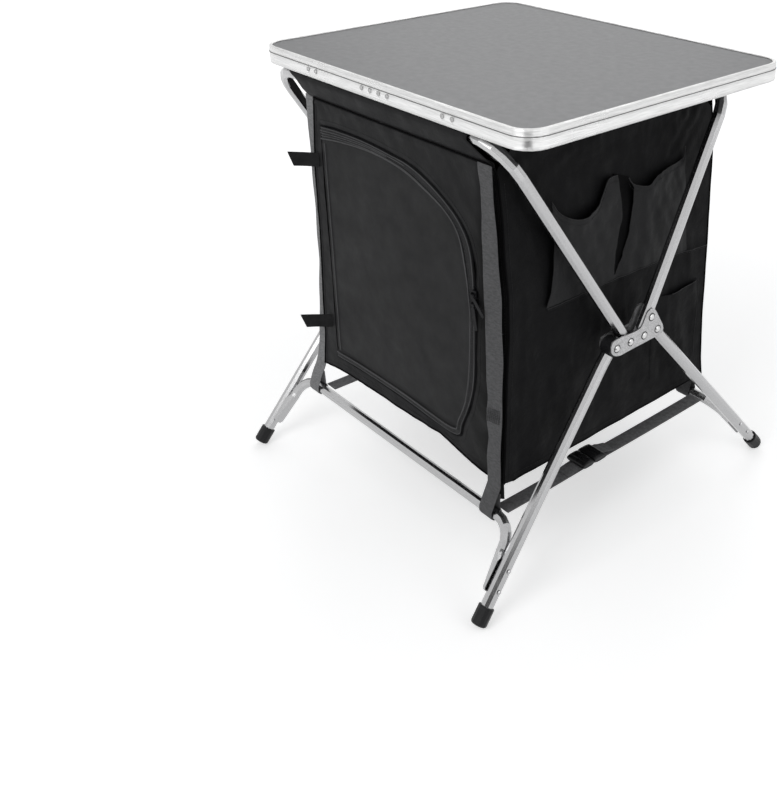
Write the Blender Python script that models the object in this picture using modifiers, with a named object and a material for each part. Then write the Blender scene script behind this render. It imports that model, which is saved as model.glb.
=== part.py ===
"""Folding camping cupboard: lift-off table top, two crossed tube frames, hanging cloth cabinet.

Metres, +Z up, front towards -Y. Positions across the cupboard are given from the middle of
the tube frame; frameShift and tableShift then place frame and table top about the origin.
"""
import bpy
import bmesh
import math
from mathutils import Vector, Matrix

# table top
tableLength = 0.600
tableDepth = 0.500
tableHeight = 0.700
cornerRadius = 0.034
rimHeight = 0.0264
rimWall = 0.0016
lipWidth = 0.0055
flangeWidth = 0.0066
boardThickness = 0.0070
boardDrop = 0.0017
tableShift = 0.0169
frameShift = -0.0119

# tube frame, seen from the side: y across, z up
tubeRadius = 0.00925
tubeWall = 0.0012
lowRailRadius = 0.0080
rowHeight = 0.3282
frontLegPivot = -0.0458
frontTubePivot = -0.0176
rearTubePivot = 0.0110
rearLegPivot = 0.0398
lockRivetUp = 0.0286
railHeight = tableHeight - 0.0369
frontRailY = 0.0173 - tableDepth / 2
rearRailY = tableDepth / 2 - 0.0382
footReach = 0.3111
sideAtPlate = 0.2785
sideAtRail = 0.2631
sideAtFoot = 0.2932
straightEnd = 0.036
topBend = 0.055
lowBend = 0.034
lowRailAboveFoot = 0.1342
railFlatStart = 0.036
railLoop = lowRailRadius + 0.0028

# joint plates and knuckles
fit = 0.0003
plateThickness = 0.0020
eyeRadius = 0.0135
stubEnd = 0.031
stubFit = 0.0008
rivetRadius = 0.0025
rivetHead = 0.0052
rivetDome = 0.0022
smallRivet = 0.0020
smallHead = 0.0036
smallDome = 0.0014
railRivets = (0.053, 0.0828)
capRadius = 0.0118
capLength = 0.027
capEdge = 0.0035

# cloth and webbing
cloth = 0.0024
webbing = 0.0018
strapWidth = 0.0265
sleeveHalf = 0.2070
seamHeight = railHeight - 0.0271
cabinetFront = frontRailY
cabinetRear = rearRailY
cabinetBottom = 0.1740
floorShare = 0.0455
shelfShare = 0.4892
leftSide = ((-0.0043, -0.1860), (0.3377, -0.1765), (0.6190, -0.1700), (0.9221, -0.1640), (1.0411, -0.1610))
rightSide = ((-0.0043, 0.2595), (0.3377, 0.2570), (0.6190, 0.2550), (0.9221, 0.2495), (1.0411, 0.2470))
rightTaper = 0.0220
# middle of each hanging strap as (share, x), then its x at the rail
rightStrap = ((1.0, 0.2365), (0.24, 0.2433), (-0.0173, 0.2433))
leftStrap = ((1.0, -0.1710), (0.41, -0.1720), (0.10, -0.1900), (-0.0173, -0.2045))
rearStrap = ((1.0, 0.2050), (-0.0173, 0.2050))
rightLoopX = 0.2300
leftLoopX = -0.2285
rearLoopX = 0.2050
crossStrapX = 0.2346
crossStrapLeftX = -0.2080
crossStrapRise = 0.0033
buckleY = -0.0460
buckleWidth = 0.0370

# door and zip
hingeX = -0.1480
doorGap = 0.0004
zipLine = ((0.8961, -0.5321), (0.9058, -0.2281), (0.9026, 0.0760), (0.8939, 0.2509),
           (0.8669, 0.4295), (0.8268, 0.5853), (0.7771, 0.6918), (0.7056, 0.7545),
           (0.5758, 0.7716), (0.4242, 0.7754), (0.2727, 0.7545), (0.1429, 0.6727),
           (0.0823, 0.5701), (0.0812, 0.2661), (0.0812, -0.0760), (0.0805, -0.5321))
sliderX = 0.2100
upperSliderShare = 0.5952
lowerSliderGap = 0.0140
pullNeck = 0.0035

# hooks under the rim
hookGroups = ((-0.1567, 2), (-0.0028, 4), (0.1533, 2))
hookPitch = 0.0195
hookMargin = 0.008
rivetLine = tableHeight - 0.0150
clipInner = 0.0125
clipThickness = 0.0015
rearClipX = 0.1550

colours = {
    "laminate": (0.23, 0.235, 0.245), "rim": (0.80, 0.80, 0.80), "tube": (0.66, 0.66, 0.67),
    "plate": (0.50, 0.51, 0.52), "rivet": (0.72, 0.72, 0.72), "plastic": (0.012, 0.012, 0.013),
    "cloth": (0.014, 0.014, 0.015), "door": (0.020, 0.020, 0.021), "webbing": (0.13, 0.13, 0.135),
    "blackWebbing": (0.010, 0.010, 0.010),
}
metals = ("rim", "tube", "plate", "rivet")


def clearScene():
    for item in list(bpy.data.objects):
        bpy.data.objects.remove(item, do_unlink=True)


clearScene()
parts = bpy.data.collections.new("camping_cupboard")
cutters = bpy.data.collections.new("cutters")
bpy.context.scene.collection.children.link(parts)
bpy.context.scene.collection.children.link(cutters)


def paint(item, kind):
    material = bpy.data.materials.new(item.name)
    material.use_nodes = True
    shader = material.node_tree.nodes["Principled BSDF"]
    shader.inputs["Base Color"].default_value = colours[kind] + (1.0,)
    shader.inputs["Metallic"].default_value = 1.0 if kind in metals else 0.0
    shader.inputs["Roughness"].default_value = 0.35 if kind in metals else 0.7
    item.data.materials.clear()
    item.data.materials.append(material)


def place(name, mesh, kind=None, collection=None):
    item = bpy.data.objects.new(name, mesh)
    (collection or parts).objects.link(item)
    if kind:
        paint(item, kind)
    return item


def asMesh(item, weld=0.00001):
    """Evaluated copy of a curve or modified object as a welded mesh, in world space."""
    graph = bpy.context.evaluated_depsgraph_get()
    graph.update()
    mesh = bpy.data.meshes.new_from_object(item.evaluated_get(graph))
    mesh.transform(item.matrix_world)
    bm = bmesh.new()
    bm.from_mesh(mesh)
    bmesh.ops.remove_doubles(bm, verts=bm.verts, dist=weld)
    bmesh.ops.recalc_face_normals(bm, faces=bm.faces)
    bm.to_mesh(mesh)
    bm.free()
    bpy.data.objects.remove(item, do_unlink=True)
    return mesh


def fromBmesh(bm, name):
    bmesh.ops.recalc_face_normals(bm, faces=bm.faces)
    mesh = bpy.data.meshes.new(name)
    bm.to_mesh(mesh)
    bm.free()
    return mesh


def bend(points, radii):
    """Polyline through points with each inner corner rounded to its radius."""
    points = [Vector(p) for p in points]
    out = [points[0]]
    for i in range(1, len(points) - 1):
        a = (points[i - 1] - points[i]).normalized()
        b = (points[i + 1] - points[i]).normalized()
        half = a.angle(b) / 2
        if radii[i - 1] <= 0 or half > math.pi / 2 - 0.001:
            out.append(points[i])
            continue
        reach = radii[i - 1] / math.tan(half)
        middle = points[i] + (a + b).normalized() * radii[i - 1] / math.sin(half)
        first = points[i] + a * reach - middle
        turn = math.pi - 2 * half
        steps = max(2, round(math.degrees(turn) / 16))
        axis = first.cross(points[i] + b * reach - middle).normalized()
        for k in range(steps + 1):
            out.append(middle + Matrix.Rotation(turn * k / steps, 3, axis) @ first)
    out.append(points[-1])
    return out


def rod(name, points, radius, sides=4, capped=True):
    """Round bar along a polyline."""
    curve = bpy.data.curves.new(name, 'CURVE')
    curve.dimensions = '3D'
    curve.bevel_depth = radius
    curve.bevel_resolution = sides
    curve.use_fill_caps = capped
    spline = curve.splines.new('POLY')
    spline.points.add(len(points) - 1)
    for point, place_ in zip(spline.points, points):
        point.co = (*place_, 1.0)
    item = bpy.data.objects.new(name, curve)
    parts.objects.link(item)
    return asMesh(item)


def hollow(name, points, kind, sides=3):
    """Tube with open ends."""
    item = place(name, rod(name, points, tubeRadius, sides, capped=False), kind)
    solid = item.modifiers.new("wall", 'SOLIDIFY')
    solid.thickness = tubeWall
    solid.offset = -1.0
    solid.use_even_offset = True
    return item


def plan(name, outlines, depth, turn=None):
    """Flat outline (with any holes) as a plate of the given depth, centred on its plane."""
    curve = bpy.data.curves.new(name, 'CURVE')
    curve.dimensions = '2D'
    curve.fill_mode = 'BOTH'
    curve.extrude = depth / 2
    for outline in outlines:
        spline = curve.splines.new('POLY')
        spline.points.add(len(outline) - 1)
        spline.use_cyclic_u = True
        for point, place_ in zip(spline.points, outline):
            point.co = (place_[0], place_[1], 0.0, 1.0)
    item = bpy.data.objects.new(name, curve)
    parts.objects.link(item)
    mesh = asMesh(item)
    if turn:
        mesh.transform(turn)
    return mesh


# outline (y, z) standing in a plane across the cupboard, and outline (x, z) facing the front
sideTurn = Matrix(((0, 0, 1, 0), (1, 0, 0, 0), (0, 1, 0, 0), (0, 0, 0, 1)))
frontTurn = Matrix(((1, 0, 0, 0), (0, 0, -1, 0), (0, 1, 0, 0), (0, 0, 0, 1)))


def shift(mesh, x=0.0, y=0.0, z=0.0):
    mesh.transform(Matrix.Translation((x, y, z)))
    return mesh


def circle(cy, cz, radius, count=20, start=0.0, end=2 * math.pi):
    closed = abs(end - start - 2 * math.pi) < 1e-6
    steps = count if closed else count - 1
    return [(cy + radius * math.cos(start + (end - start) * i / steps),
             cz + radius * math.sin(start + (end - start) * i / steps)) for i in range(count)]


def unite(name, meshes, kind):
    """One body out of several closed meshes."""
    item = place(name, meshes[0], kind)
    for i, mesh in enumerate(meshes[1:]):
        other = place(name + "_add", mesh)
        join = item.modifiers.new("join", 'BOOLEAN')
        join.operation = 'UNION'
        join.solver = 'EXACT'
        join.object = other
        graph = bpy.context.evaluated_depsgraph_get()
        graph.update()
        merged = bpy.data.meshes.new_from_object(item.evaluated_get(graph))
        item.modifiers.clear()
        item.data = merged
        bpy.data.objects.remove(other, do_unlink=True)
    paint(item, kind)
    return item


def lathe(profile, origin, direction, segments=10):
    """Solid of revolution; profile runs (radius, along) with along measured in direction."""
    bm = bmesh.new()
    points = [bm.verts.new((r, 0.0, -s)) for r, s in profile]
    for a, b in zip(points, points[1:]):
        bm.edges.new((a, b))
    mesh = bpy.data.meshes.new("profile")
    bm.to_mesh(mesh)
    bm.free()
    item = place("lathe", mesh)
    spin = item.modifiers.new("spin", 'SCREW')
    spin.axis = 'Z'
    spin.steps = segments
    spin.render_steps = segments
    spin.use_merge_vertices = True
    spin.merge_threshold = 0.00005
    mesh = asMesh(item)
    mesh.transform(Matrix.Translation(origin) @ Vector(direction).to_track_quat('-Z', 'Y').to_matrix().to_4x4())
    return mesh


def rivetProfile(radius, head, dome, length):
    """Shaft of the given length with a domed head at each end."""
    rise = [(0.0, -dome), (head * 0.7, -dome * 0.7), (head, 0.0)]
    fall = [(r, length - s) for r, s in reversed(rise)]
    return rise + [(radius, 0.0), (radius, length)] + fall


def offsetLine(line, distance):
    """Outline (u, v) moved outwards along its normals; the line runs clockwise."""
    out = []
    for i, point in enumerate(line):
        a = Vector(line[max(i - 1, 0)])
        b = Vector(line[min(i + 1, len(line) - 1)])
        along = (b - a).normalized()
        out.append((point[0] - along.y * distance, point[1] + along.x * distance))
    return out


def smooth(line, steps=3):
    """Catmull-Rom line through the given points."""
    points = [Vector(p) for p in line]
    out = []
    for i in range(len(points) - 1):
        a = points[max(i - 1, 0)]
        b, c = points[i], points[i + 1]
        d = points[min(i + 2, len(points) - 1)]
        for k in range(steps):
            t = k / steps
            out.append(0.5 * ((2 * b) + (c - a) * t + (2 * a - 5 * b + 4 * c - d) * t * t
                              + (3 * b - a - 3 * c + d) * t ** 3))
    out.append(points[-1])
    return [tuple(p) for p in out]


def rise(share):
    """Height at a share of the way up the cloth cabinet."""
    return cabinetBottom + share * (seamHeight - cabinetBottom)


def spread(line):
    """Outline given in shares of the frame's half width and of the cabinet's height."""
    return [(x * sideAtRail, rise(z)) for x, z in line]


def atHeight(line, z):
    """Position x of a side panel at a height, from its (share, x) line."""
    for (s0, x0), (s1, x1) in zip(line, line[1:]):
        if z <= rise(s1):
            return x0 + (x1 - x0) * (z - rise(s0)) / (rise(s1) - rise(s0))
    return line[-1][1]


# lines of the four tubes at one side, as (y, z) start, unit direction, length
def tubeLine(pivot, end):
    start = Vector((pivot, rowHeight))
    run = Vector(end) - start
    return start, run.normalized(), run.length


def footHeight(pivot):
    """Height of the foot's end centre that lets the rounded cap edge touch the floor."""
    z = 0.006
    for _ in range(20):
        tilt = math.atan2(footReach - abs(pivot), rowHeight - z)
        z = capEdge + (capRadius - capEdge) * math.sin(tilt) - capEdge * math.cos(tilt)
    return z


frontLeg = tubeLine(frontLegPivot, (-footReach, footHeight(frontLegPivot)))
rearLeg = tubeLine(rearLegPivot, (footReach, footHeight(rearLegPivot)))
frontTube = tubeLine(frontTubePivot, (frontRailY, railHeight))
rearTube = tubeLine(rearTubePivot, (rearRailY, railHeight))
lowRailAt = frontLeg[2] - lowRailAboveFoot


def along(line, u, endX):
    """Point of a right-hand tube's axis at distance u from its pivot."""
    start, direction, length = line
    lean = max(0.0, u - straightEnd) / (length - straightEnd)
    x = sideAtPlate + (endX - sideAtPlate) * lean
    return Vector((x, start.x + direction.x * u, start.y + direction.y * u))


def mirror(points):
    return [Vector((-p[0], p[1], p[2])) for p in points]


def toSide(mesh, side):
    if side < 0:
        mesh.transform(Matrix.Scale(-1, 4, (1, 0, 0)))
        mesh.flip_normals()
    return mesh


def sideName(side):
    return "right" if side > 0 else "left"


# table top pieces
def roundedRectangle(inset, steps=5):
    halfX = tableLength / 2 - inset
    halfY = tableDepth / 2 - inset
    r = cornerRadius - inset
    out = []
    for cx, cy, start in ((1, 1, 0), (-1, 1, 90), (-1, -1, 180), (1, -1, 270)):
        for i in range(steps + 1):
            angle = math.radians(start + 90 * i / steps)
            out.append((cx * (halfX - r) + r * math.cos(angle), cy * (halfY - r) + r * math.sin(angle)))
    return out


def tableRim():
    bottom = tableHeight - rimHeight
    boardTop = tableHeight - boardDrop
    boardBottom = boardTop - boardThickness
    ledge = 0.0012
    groove = tableHeight - 0.0094
    profile = (
        (0.0, bottom + 0.0008), (0.0, groove - 0.0006), (0.0007, groove - 0.0003), (0.0007, groove + 0.0003),
        (0.0, groove + 0.0006), (0.0, tableHeight - 0.0011), (0.0011, tableHeight),
        (lipWidth - 0.0005, tableHeight), (lipWidth, tableHeight - 0.0005),
        (lipWidth, boardTop + fit), (rimWall, boardTop + fit), (rimWall, boardBottom - fit),
        (lipWidth, boardBottom - fit), (lipWidth, boardBottom - fit - ledge), (rimWall, boardBottom - fit - ledge),
        (rimWall, bottom + 0.0015), (flangeWidth, bottom + 0.0015), (flangeWidth, bottom), (0.0008, bottom),
    )
    bm = bmesh.new()
    rings = []
    for inset, z in profile:
        rings.append([bm.verts.new((x, y, z)) for x, y in roundedRectangle(inset)])
    for a, b in zip(rings, rings[1:] + rings[:1]):
        for i in range(len(a)):
            j = (i + 1) % len(a)
            bm.faces.new((a[i], a[j], b[j], b[i]))
    item = place("tabletop_rim", shift(fromBmesh(bm, "tabletop_rim"), tableShift), "rim")
    holes = item.modifiers.new("rivet_holes", 'BOOLEAN')
    holes.operation = 'DIFFERENCE'
    holes.solver = 'EXACT'
    holes.object = rivetCutter
    return item


def tableBoard():
    mesh = plan("tabletop_panel", [roundedRectangle(rimWall + fit)], boardThickness)
    z = tableHeight - boardDrop - boardThickness / 2
    place("tabletop_panel", shift(mesh, tableShift, 0.0, z), "laminate")


def hookRivets():
    """Centre and axis side of each rivet that holds a hook to the rim."""
    spots = []
    for centre, count in hookGroups:
        for i in range(count):
            spots.append((centre + (i - (count - 1) / 2) * hookPitch, -1))
    for centre in (-rearClipX, rearClipX):
        for i in range(2):
            spots.append((centre + (i - 0.5) * hookPitch, 1))
    return spots


def hookRivet(x, side):
    """Small rivet through the rim wall, with its head on the outside."""
    wallOut = side * tableDepth / 2
    profile = [(0.0, -smallDome - fit), (smallHead * 0.6, -smallDome * 0.8 - fit), (smallHead, -fit),
               (smallRivet, -fit), (smallRivet, 0.0030), (0.0, 0.0030)]
    return lathe(profile, (x + tableShift, wallOut, rivetLine), (0, -side, 0), 8)


def tableHook(name, centre, count):
    """Bent strip riveted inside the front rim; its arm lies on the rail and opens to the rear."""
    wall = -tableDepth / 2 + rimWall + fit
    top = tableHeight - boardDrop - boardThickness - 2 * fit - 0.0016
    under = railHeight + clipInner
    t = clipThickness
    arc = circle(frontRailY, railHeight, clipInner, 5, math.radians(90), math.radians(118))
    back = circle(frontRailY, railHeight, clipInner + t, 4, math.radians(118), math.radians(100))
    outline = [(wall, top), (wall + t, top), (wall + t, under + t), (frontRailY + 0.007, under + t),
               (frontRailY + 0.007, under)] + arc + [back[0], (wall, under + 0.0002)]
    width = (count - 1) * hookPitch + 2 * hookMargin
    meshes = [shift(plan(name, [outline], width, sideTurn), centre + tableShift)]
    for i in range(count):
        meshes.append(hookRivet(centre + (i - (count - 1) / 2) * hookPitch, -1))
    unite(name, meshes, "rivet")


def rearClip(name, centre):
    """Saddle riveted inside the rear rim; it sits over the upper half of the rear rail."""
    wall = tableDepth / 2 - rimWall - fit
    top = tableHeight - boardDrop - boardThickness - 2 * fit - 0.0016
    under = railHeight + clipInner
    t = clipThickness
    inner = circle(rearRailY, railHeight, clipInner, 13, 0.0, math.pi)
    arm = under + 0.0003
    join = math.asin((arm - railHeight) / (clipInner + t))
    outerRear = circle(rearRailY, railHeight, clipInner + t, 5, join, 0.0)
    outerFront = circle(rearRailY, railHeight, clipInner + t, 7, math.pi, math.pi / 2)
    outline = [(wall, top), (wall, arm)] + outerRear + inner + outerFront
    outline += [(wall - t, arm + t - 0.0001), (wall - t, top)]
    width = hookPitch + 2 * hookMargin
    meshes = [shift(plan(name, [outline], width, sideTurn), centre + tableShift)]
    for i in range(2):
        meshes.append(hookRivet(centre + (i - 0.5) * hookPitch, 1))
    unite(name, meshes, "rivet")


# tube frame pieces
def upperTube(name, line, first, kind="tube"):
    right = [along(line, first, sideAtRail), along(line, straightEnd, sideAtRail), along(line, line[2], sideAtRail)]
    points = right + list(reversed(mirror(right)))
    item = hollow(name, bend(points, (0.12, topBend, topBend, 0.12)), kind)
    item.data.transform(Matrix.Translation((frameShift, 0, 0)))
    return item


def legTube(name, line, side):
    points = [along(line, eyeRadius + fit, sideAtFoot), along(line, straightEnd, sideAtFoot),
              along(line, line[2] - 0.0045, sideAtFoot)]
    if side < 0:
        points = mirror(points)
    item = hollow(name, bend(points, (0.12,)), "tube")
    item.data.transform(Matrix.Translation((frameShift, 0, 0)))
    holes = item.modifiers.new("rivet_holes", 'BOOLEAN')
    holes.operation = 'DIFFERENCE'
    holes.solver = 'EXACT'
    holes.object = rivetCutter


def knuckle(name, line, side):
    """Eye between the two plates, with a stub inside the tube's end."""
    start, direction, length = line
    eye = shift(plan(name, [circle(start.x, start.y, eyeRadius, 18), circle(start.x, start.y, rivetRadius + fit, 10)],
                     2 * tubeRadius, sideTurn), sideAtPlate)
    stub = rod(name, [along(line, 0.0085, sideAtPlate), along(line, stubEnd, sideAtPlate)],
               tubeRadius - tubeWall - stubFit, 3)
    meshes = [toSide(eye, side), toSide(stub, side)]
    item = unite(name, meshes, "plastic")
    item.data.transform(Matrix.Translation((frameShift, 0, 0)))


# joint plate as (y, height above the row of pivots)
plateOutline = (
    (-0.0583, 0.0058), (-0.0555, 0.0132), (-0.0483, 0.0150), (-0.0374, 0.0148), (-0.0226, 0.0142),
    (-0.0076, 0.0137), (0.0027, 0.0148), (0.0081, 0.0208), (0.0115, 0.0281), (0.0159, 0.0352),
    (0.0215, 0.0382), (0.0282, 0.0383), (0.0344, 0.0322), (0.0421, 0.0186), (0.0509, 0.0036),
    (0.0530, -0.0038), (0.0499, -0.0108), (0.0322, -0.0115), (0.0013, -0.0122), (-0.0250, -0.0129),
    (-0.0380, -0.0136), (-0.0473, -0.0114), (-0.0538, -0.0074), (-0.0575, -0.0020),
)


def jointPlates(name, side):
    """Outer and inner plate, held together by the two rivets that fix the rear tube."""
    inner = tubeRadius + fit
    pivots = (frontLegPivot, frontTubePivot, rearLegPivot)
    holes = [circle(y, rowHeight, rivetRadius + fit, 10, a, a + 2 * math.pi) for a, y in enumerate(pivots)]
    outline = [(y, rowHeight + up) for y, up in plateOutline]
    meshes = []
    for way in (1, -1):
        plate = plan(name, [outline] + holes, plateThickness, sideTurn)
        meshes.append(shift(plate, sideAtPlate + way * (inner + plateThickness / 2)))
    lock = along(rearTube, lockRivetUp, sideAtPlate)
    fixed = along(rearTube, 0.0, sideAtPlate)
    span = 2 * (inner + plateThickness)
    for spot in (fixed, lock):
        profile = rivetProfile(rivetRadius, rivetHead, rivetDome, span - 0.0002)
        meshes.append(lathe(profile, (sideAtPlate - span / 2 + 0.0001, spot.y, spot.z), (1, 0, 0)))
    meshes = [toSide(m, side) for m in meshes]
    item = unite(name, meshes, "plate")
    item.data.transform(Matrix.Translation((frameShift, 0, 0)))


def pivotRivet(name, y, side):
    span = 2 * (tubeRadius + fit + plateThickness + fit)
    mesh = lathe(rivetProfile(rivetRadius, rivetHead, rivetDome, span), (sideAtPlate - span / 2, y, rowHeight), (1, 0, 0))
    place(name, shift(toSide(mesh, side), frameShift), "rivet")


def footCap(name, line, side):
    """Push-on cap over the tube's end."""
    end = along(line, line[2], sideAtFoot)
    up = (along(line, line[2] - 0.1, sideAtFoot) - end).normalized()
    r = capRadius
    arc = [(r - capEdge + capEdge * math.sin(a), capEdge - capEdge * math.cos(a))
           for a in (0.0, math.pi / 6, math.pi / 3, math.pi / 2)]
    profile = [(0.0, 0.0)] + arc + [(r, capLength - 0.0006), (r - 0.0006, capLength), (tubeRadius + fit, capLength),
                                    (tubeRadius + fit, 0.0042), (0.0, 0.0042)]
    mesh = lathe(profile, end, up, 14)
    place(name, shift(toSide(mesh, side), frameShift), "plastic")


def lowRail(name, line):
    """Cross rail between two legs; its flattened ends are riveted to their inner sides."""
    start, direction, length = line
    aside = tubeRadius + fit

    def inner(u, depth):
        point = along(line, u, sideAtFoot)
        point.x -= aside + depth
        return point

    corner = inner(lowRailAt, lowRailRadius)
    right = [inner(lowRailAt + railFlatStart + 0.003, lowRailRadius), corner]
    points = right + list(reversed(mirror(right)))
    meshes = [rod(name, bend(points, (lowBend, lowBend)), lowRailRadius, 3)]
    run = (along(line, length, sideAtFoot) - along(line, lowRailAt, sideAtFoot)).normalized()
    flat = Vector((0, -direction.y, direction.x))
    across = run.cross(flat)
    thick, wide = 0.0040, 0.0185
    for side in (1, -1):
        bm = bmesh.new()
        round_ = inner(lowRailAt + railFlatStart, lowRailRadius)
        for i in range(8):
            a = 2 * math.pi * i / 8
            bm.verts.new(round_ + flat * lowRailRadius * math.cos(a) + across * lowRailRadius * math.sin(a))
        for u, w in ((0.012, wide), (0.051, wide), (0.055, wide - 0.007)):
            for sx in (0.0, thick):
                for sy in (-0.5, 0.5):
                    bm.verts.new(inner(lowRailAt + railFlatStart + u, sx) + flat * w * sy)
        bmesh.ops.convex_hull(bm, input=bm.verts)
        loose = [v for v in bm.verts if not v.link_faces]
        bmesh.ops.delete(bm, geom=loose, context='VERTS')
        meshes.append(toSide(fromBmesh(bm, name), side))
        for u in railRivets:
            spot = along(line, lowRailAt + u, sideAtFoot)
            reach = 2 * tubeRadius + fit + thick
            head = spot + Vector((tubeRadius + fit, 0, 0))
            profile = [(0.0, -smallDome), (smallHead * 0.6, -smallDome * 0.8), (smallHead, 0.0), (smallRivet, 0.0),
                       (smallRivet, reach), (smallHead, reach), (smallHead * 0.6, reach + smallDome * 0.8),
                       (0.0, reach + smallDome)]
            meshes.append(toSide(lathe(profile, head, (-1, 0, 0), 8), side))
    item = unite(name, meshes, "tube")
    item.data.transform(Matrix.Translation((frameShift, 0, 0)))


def makeCutter():
    """All rivet holes as one cutter: rim wall, rail rivets in the legs, fixed rivets in the rear tube."""
    bm = bmesh.new()

    def pin(centre, direction, radius, length):
        turn = Vector(direction).to_track_quat('Z', 'Y').to_matrix().to_4x4()
        bmesh.ops.create_cone(bm, cap_ends=True, segments=10, radius1=radius, radius2=radius, depth=length,
                              matrix=Matrix.Translation(centre) @ turn)

    for x, side in hookRivets():
        pin((x + tableShift, side * tableDepth / 2, rivetLine), (0, 1, 0), smallRivet + fit, 0.012)
    for side in (1, -1):
        for line in (frontLeg, rearLeg):
            for u in railRivets:
                spot = along(line, lowRailAt + u, sideAtFoot)
                pin((side * spot.x + frameShift, spot.y, spot.z), (1, 0, 0), smallRivet + fit, 0.030)
        for u in (0.0, lockRivetUp):
            spot = along(rearTube, u, sideAtRail)
            pin((side * spot.x + frameShift, spot.y, spot.z), (1, 0, 0), rivetRadius + fit, 0.030)
    item = place("rivet_cutter", fromBmesh(bm, "rivet_cutter"), None, cutters)
    item.hide_render = True
    item.display_type = 'WIRE'
    return item


# cloth cabinet
def sleeve(name, railY, half):
    """Hem that wraps a rail: a ring that narrows to the seam below."""
    r = tubeRadius + fit + cloth
    drop = railHeight - seamHeight
    tangent = math.asin((r - cloth / 2) / drop)
    ring = circle(railY, railHeight, r, 21, -tangent, math.pi + tangent)
    outline = ring + [(railY - cloth / 2, seamHeight), (railY + cloth / 2, seamHeight)]
    hole = circle(railY, railHeight, tubeRadius + fit, 20)
    return plan(name, [outline, hole], 2 * half, sideTurn)


def doorOutline(gap):
    line = smooth(spread([(x, z) for z, x in zipLine]))
    line = offsetLine(line, gap)
    first = (hingeX - gap, line[0][1])
    last = (hingeX - gap, line[-1][1])
    return [first] + line + [last]


def frontPanel():
    top = seamHeight + 0.004
    outline = [(-0.6081 * sideAtRail, top), (sleeveHalf, top)]
    outline += spread([(0.9312, 0.9719), (0.9730, 0.6407), (0.9814, 0.3377), (0.9901, 0.0), (0.8525, 0.0009),
                       (0.6686, 0.0175), (0.4588, 0.0346), (0.0794, 0.0307), (-0.4185, 0.0253), (-0.5515, 0.0180),
                       (-0.7092, 0.0065), (-0.6803, 0.1429), (-0.6572, 0.4266), (-0.6442, 0.5690), (-0.6366, 0.7504)])
    sheet = plan("front_panel", [outline, doorOutline(doorGap)], cloth, frontTurn)
    shift(sheet, 0.0, cabinetFront)
    item = unite("front_panel", [sheet, sleeve("front_panel", frontRailY, sleeveHalf)], "cloth")
    item.data.transform(Matrix.Translation((frameShift, 0, 0)))


def doorFlap():
    mesh = plan("door_flap", [doorOutline(0.0)], cloth, frontTurn)
    place("door_flap", shift(mesh, frameShift, cabinetFront), "door")


def rearPanel():
    top = seamHeight + 0.004
    outline = [(-0.6081 * sideAtRail, top), (sleeveHalf, top)]
    outer = [(0.9312, 0.9719), (0.9730, 0.6407), (0.9814, 0.3377), (0.9901, 0.0)]
    outline += spread([(x - rightTaper / sideAtRail, z) for x, z in outer])
    outline += spread([(-0.7051, 0.0), (-0.6670, 0.3377), (-0.6385, 0.6407)])
    sheet = plan("rear_panel", [outline], cloth, frontTurn)
    shift(sheet, 0.0, cabinetRear)
    item = unite("rear_panel", [sheet, sleeve("rear_panel", rearRailY, sleeveHalf)], "cloth")
    item.data.transform(Matrix.Translation((frameShift, 0, 0)))


def tapered(y):
    """How far the right wall has drawn in at a depth, from nothing at the front."""
    return rightTaper * (y - cabinetFront) / (cabinetRear - cabinetFront)


def sidePanel(name, line, front, rear, draw):
    """Side wall that leans with the tubes; its upper corners are cut back round the rails."""
    rows = [(rise(share), x, front, rear) for share, x in line[:-1]]
    share, x = line[-1]
    rows.append((rise(share), x, front + 0.056, rear - 0.056))
    bm = bmesh.new()
    pairs = [(bm.verts.new((x - draw(a), a, z)), bm.verts.new((x - draw(b), b, z))) for z, x, a, b in rows]
    for (a, b), (c, d) in zip(pairs, pairs[1:]):
        bm.faces.new((a, b, d, c))
    item = place(name, shift(fromBmesh(bm, name), frameShift), "cloth")
    solid = item.modifiers.new("thickness", 'SOLIDIFY')
    solid.thickness = cloth
    solid.offset = 0.0


def flatPanel(name, z, inset=0.0018):
    """Level panel between the four walls."""
    left = atHeight(leftSide, z) + inset + 0.0006
    right = atHeight(rightSide, z) - inset - 0.0006
    front = cabinetFront + cloth / 2 + fit + webbing + fit
    rear = cabinetRear - cloth / 2 - fit - webbing - fit
    corners = [(left, front), (right - tapered(front), front), (right - tapered(rear), rear), (left, rear)]
    place(name, shift(plan(name, [corners], cloth), frameShift, 0.0, z), "cloth")


def sidePockets():
    """Organiser on the right wall: two upper pockets with dipped mouths over one long lower pocket."""
    lean = [(share, x + cloth + fit) for share, x in rightSide]
    outline = [(-0.8681, 0.3052), (0.8509, 0.3052), (0.8595, 0.4935), (0.8595, 0.9004), (0.6231, 0.8658),
               (0.5071, 0.8355), (0.1848, 0.7857), (0.0859, 0.8268), (-0.0086, 0.8463), (-0.1074, 0.8398),
               (-0.2407, 0.7965), (-0.3610, 0.7554), (-0.4727, 0.7965), (-0.5801, 0.8442), (-0.7306, 0.8571),
               (-0.8681, 0.8615)]
    outline = [(-y * cabinetFront, rise(z)) for y, z in outline]
    mesh = plan("side_pockets", [outline], cloth, sideTurn)
    bm = bmesh.new()
    bm.from_mesh(mesh)
    for share, x in rightSide[1:3]:
        level = (0, 0, rise(share))
        bmesh.ops.bisect_plane(bm, geom=bm.verts[:] + bm.edges[:] + bm.faces[:], plane_co=level, plane_no=(0, 0, 1))
    for v in bm.verts:
        v.co.x += atHeight(lean, v.co.z) - tapered(v.co.y)
    place("side_pockets", shift(fromBmesh(bm, "side_pockets"), frameShift), "cloth")


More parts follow.
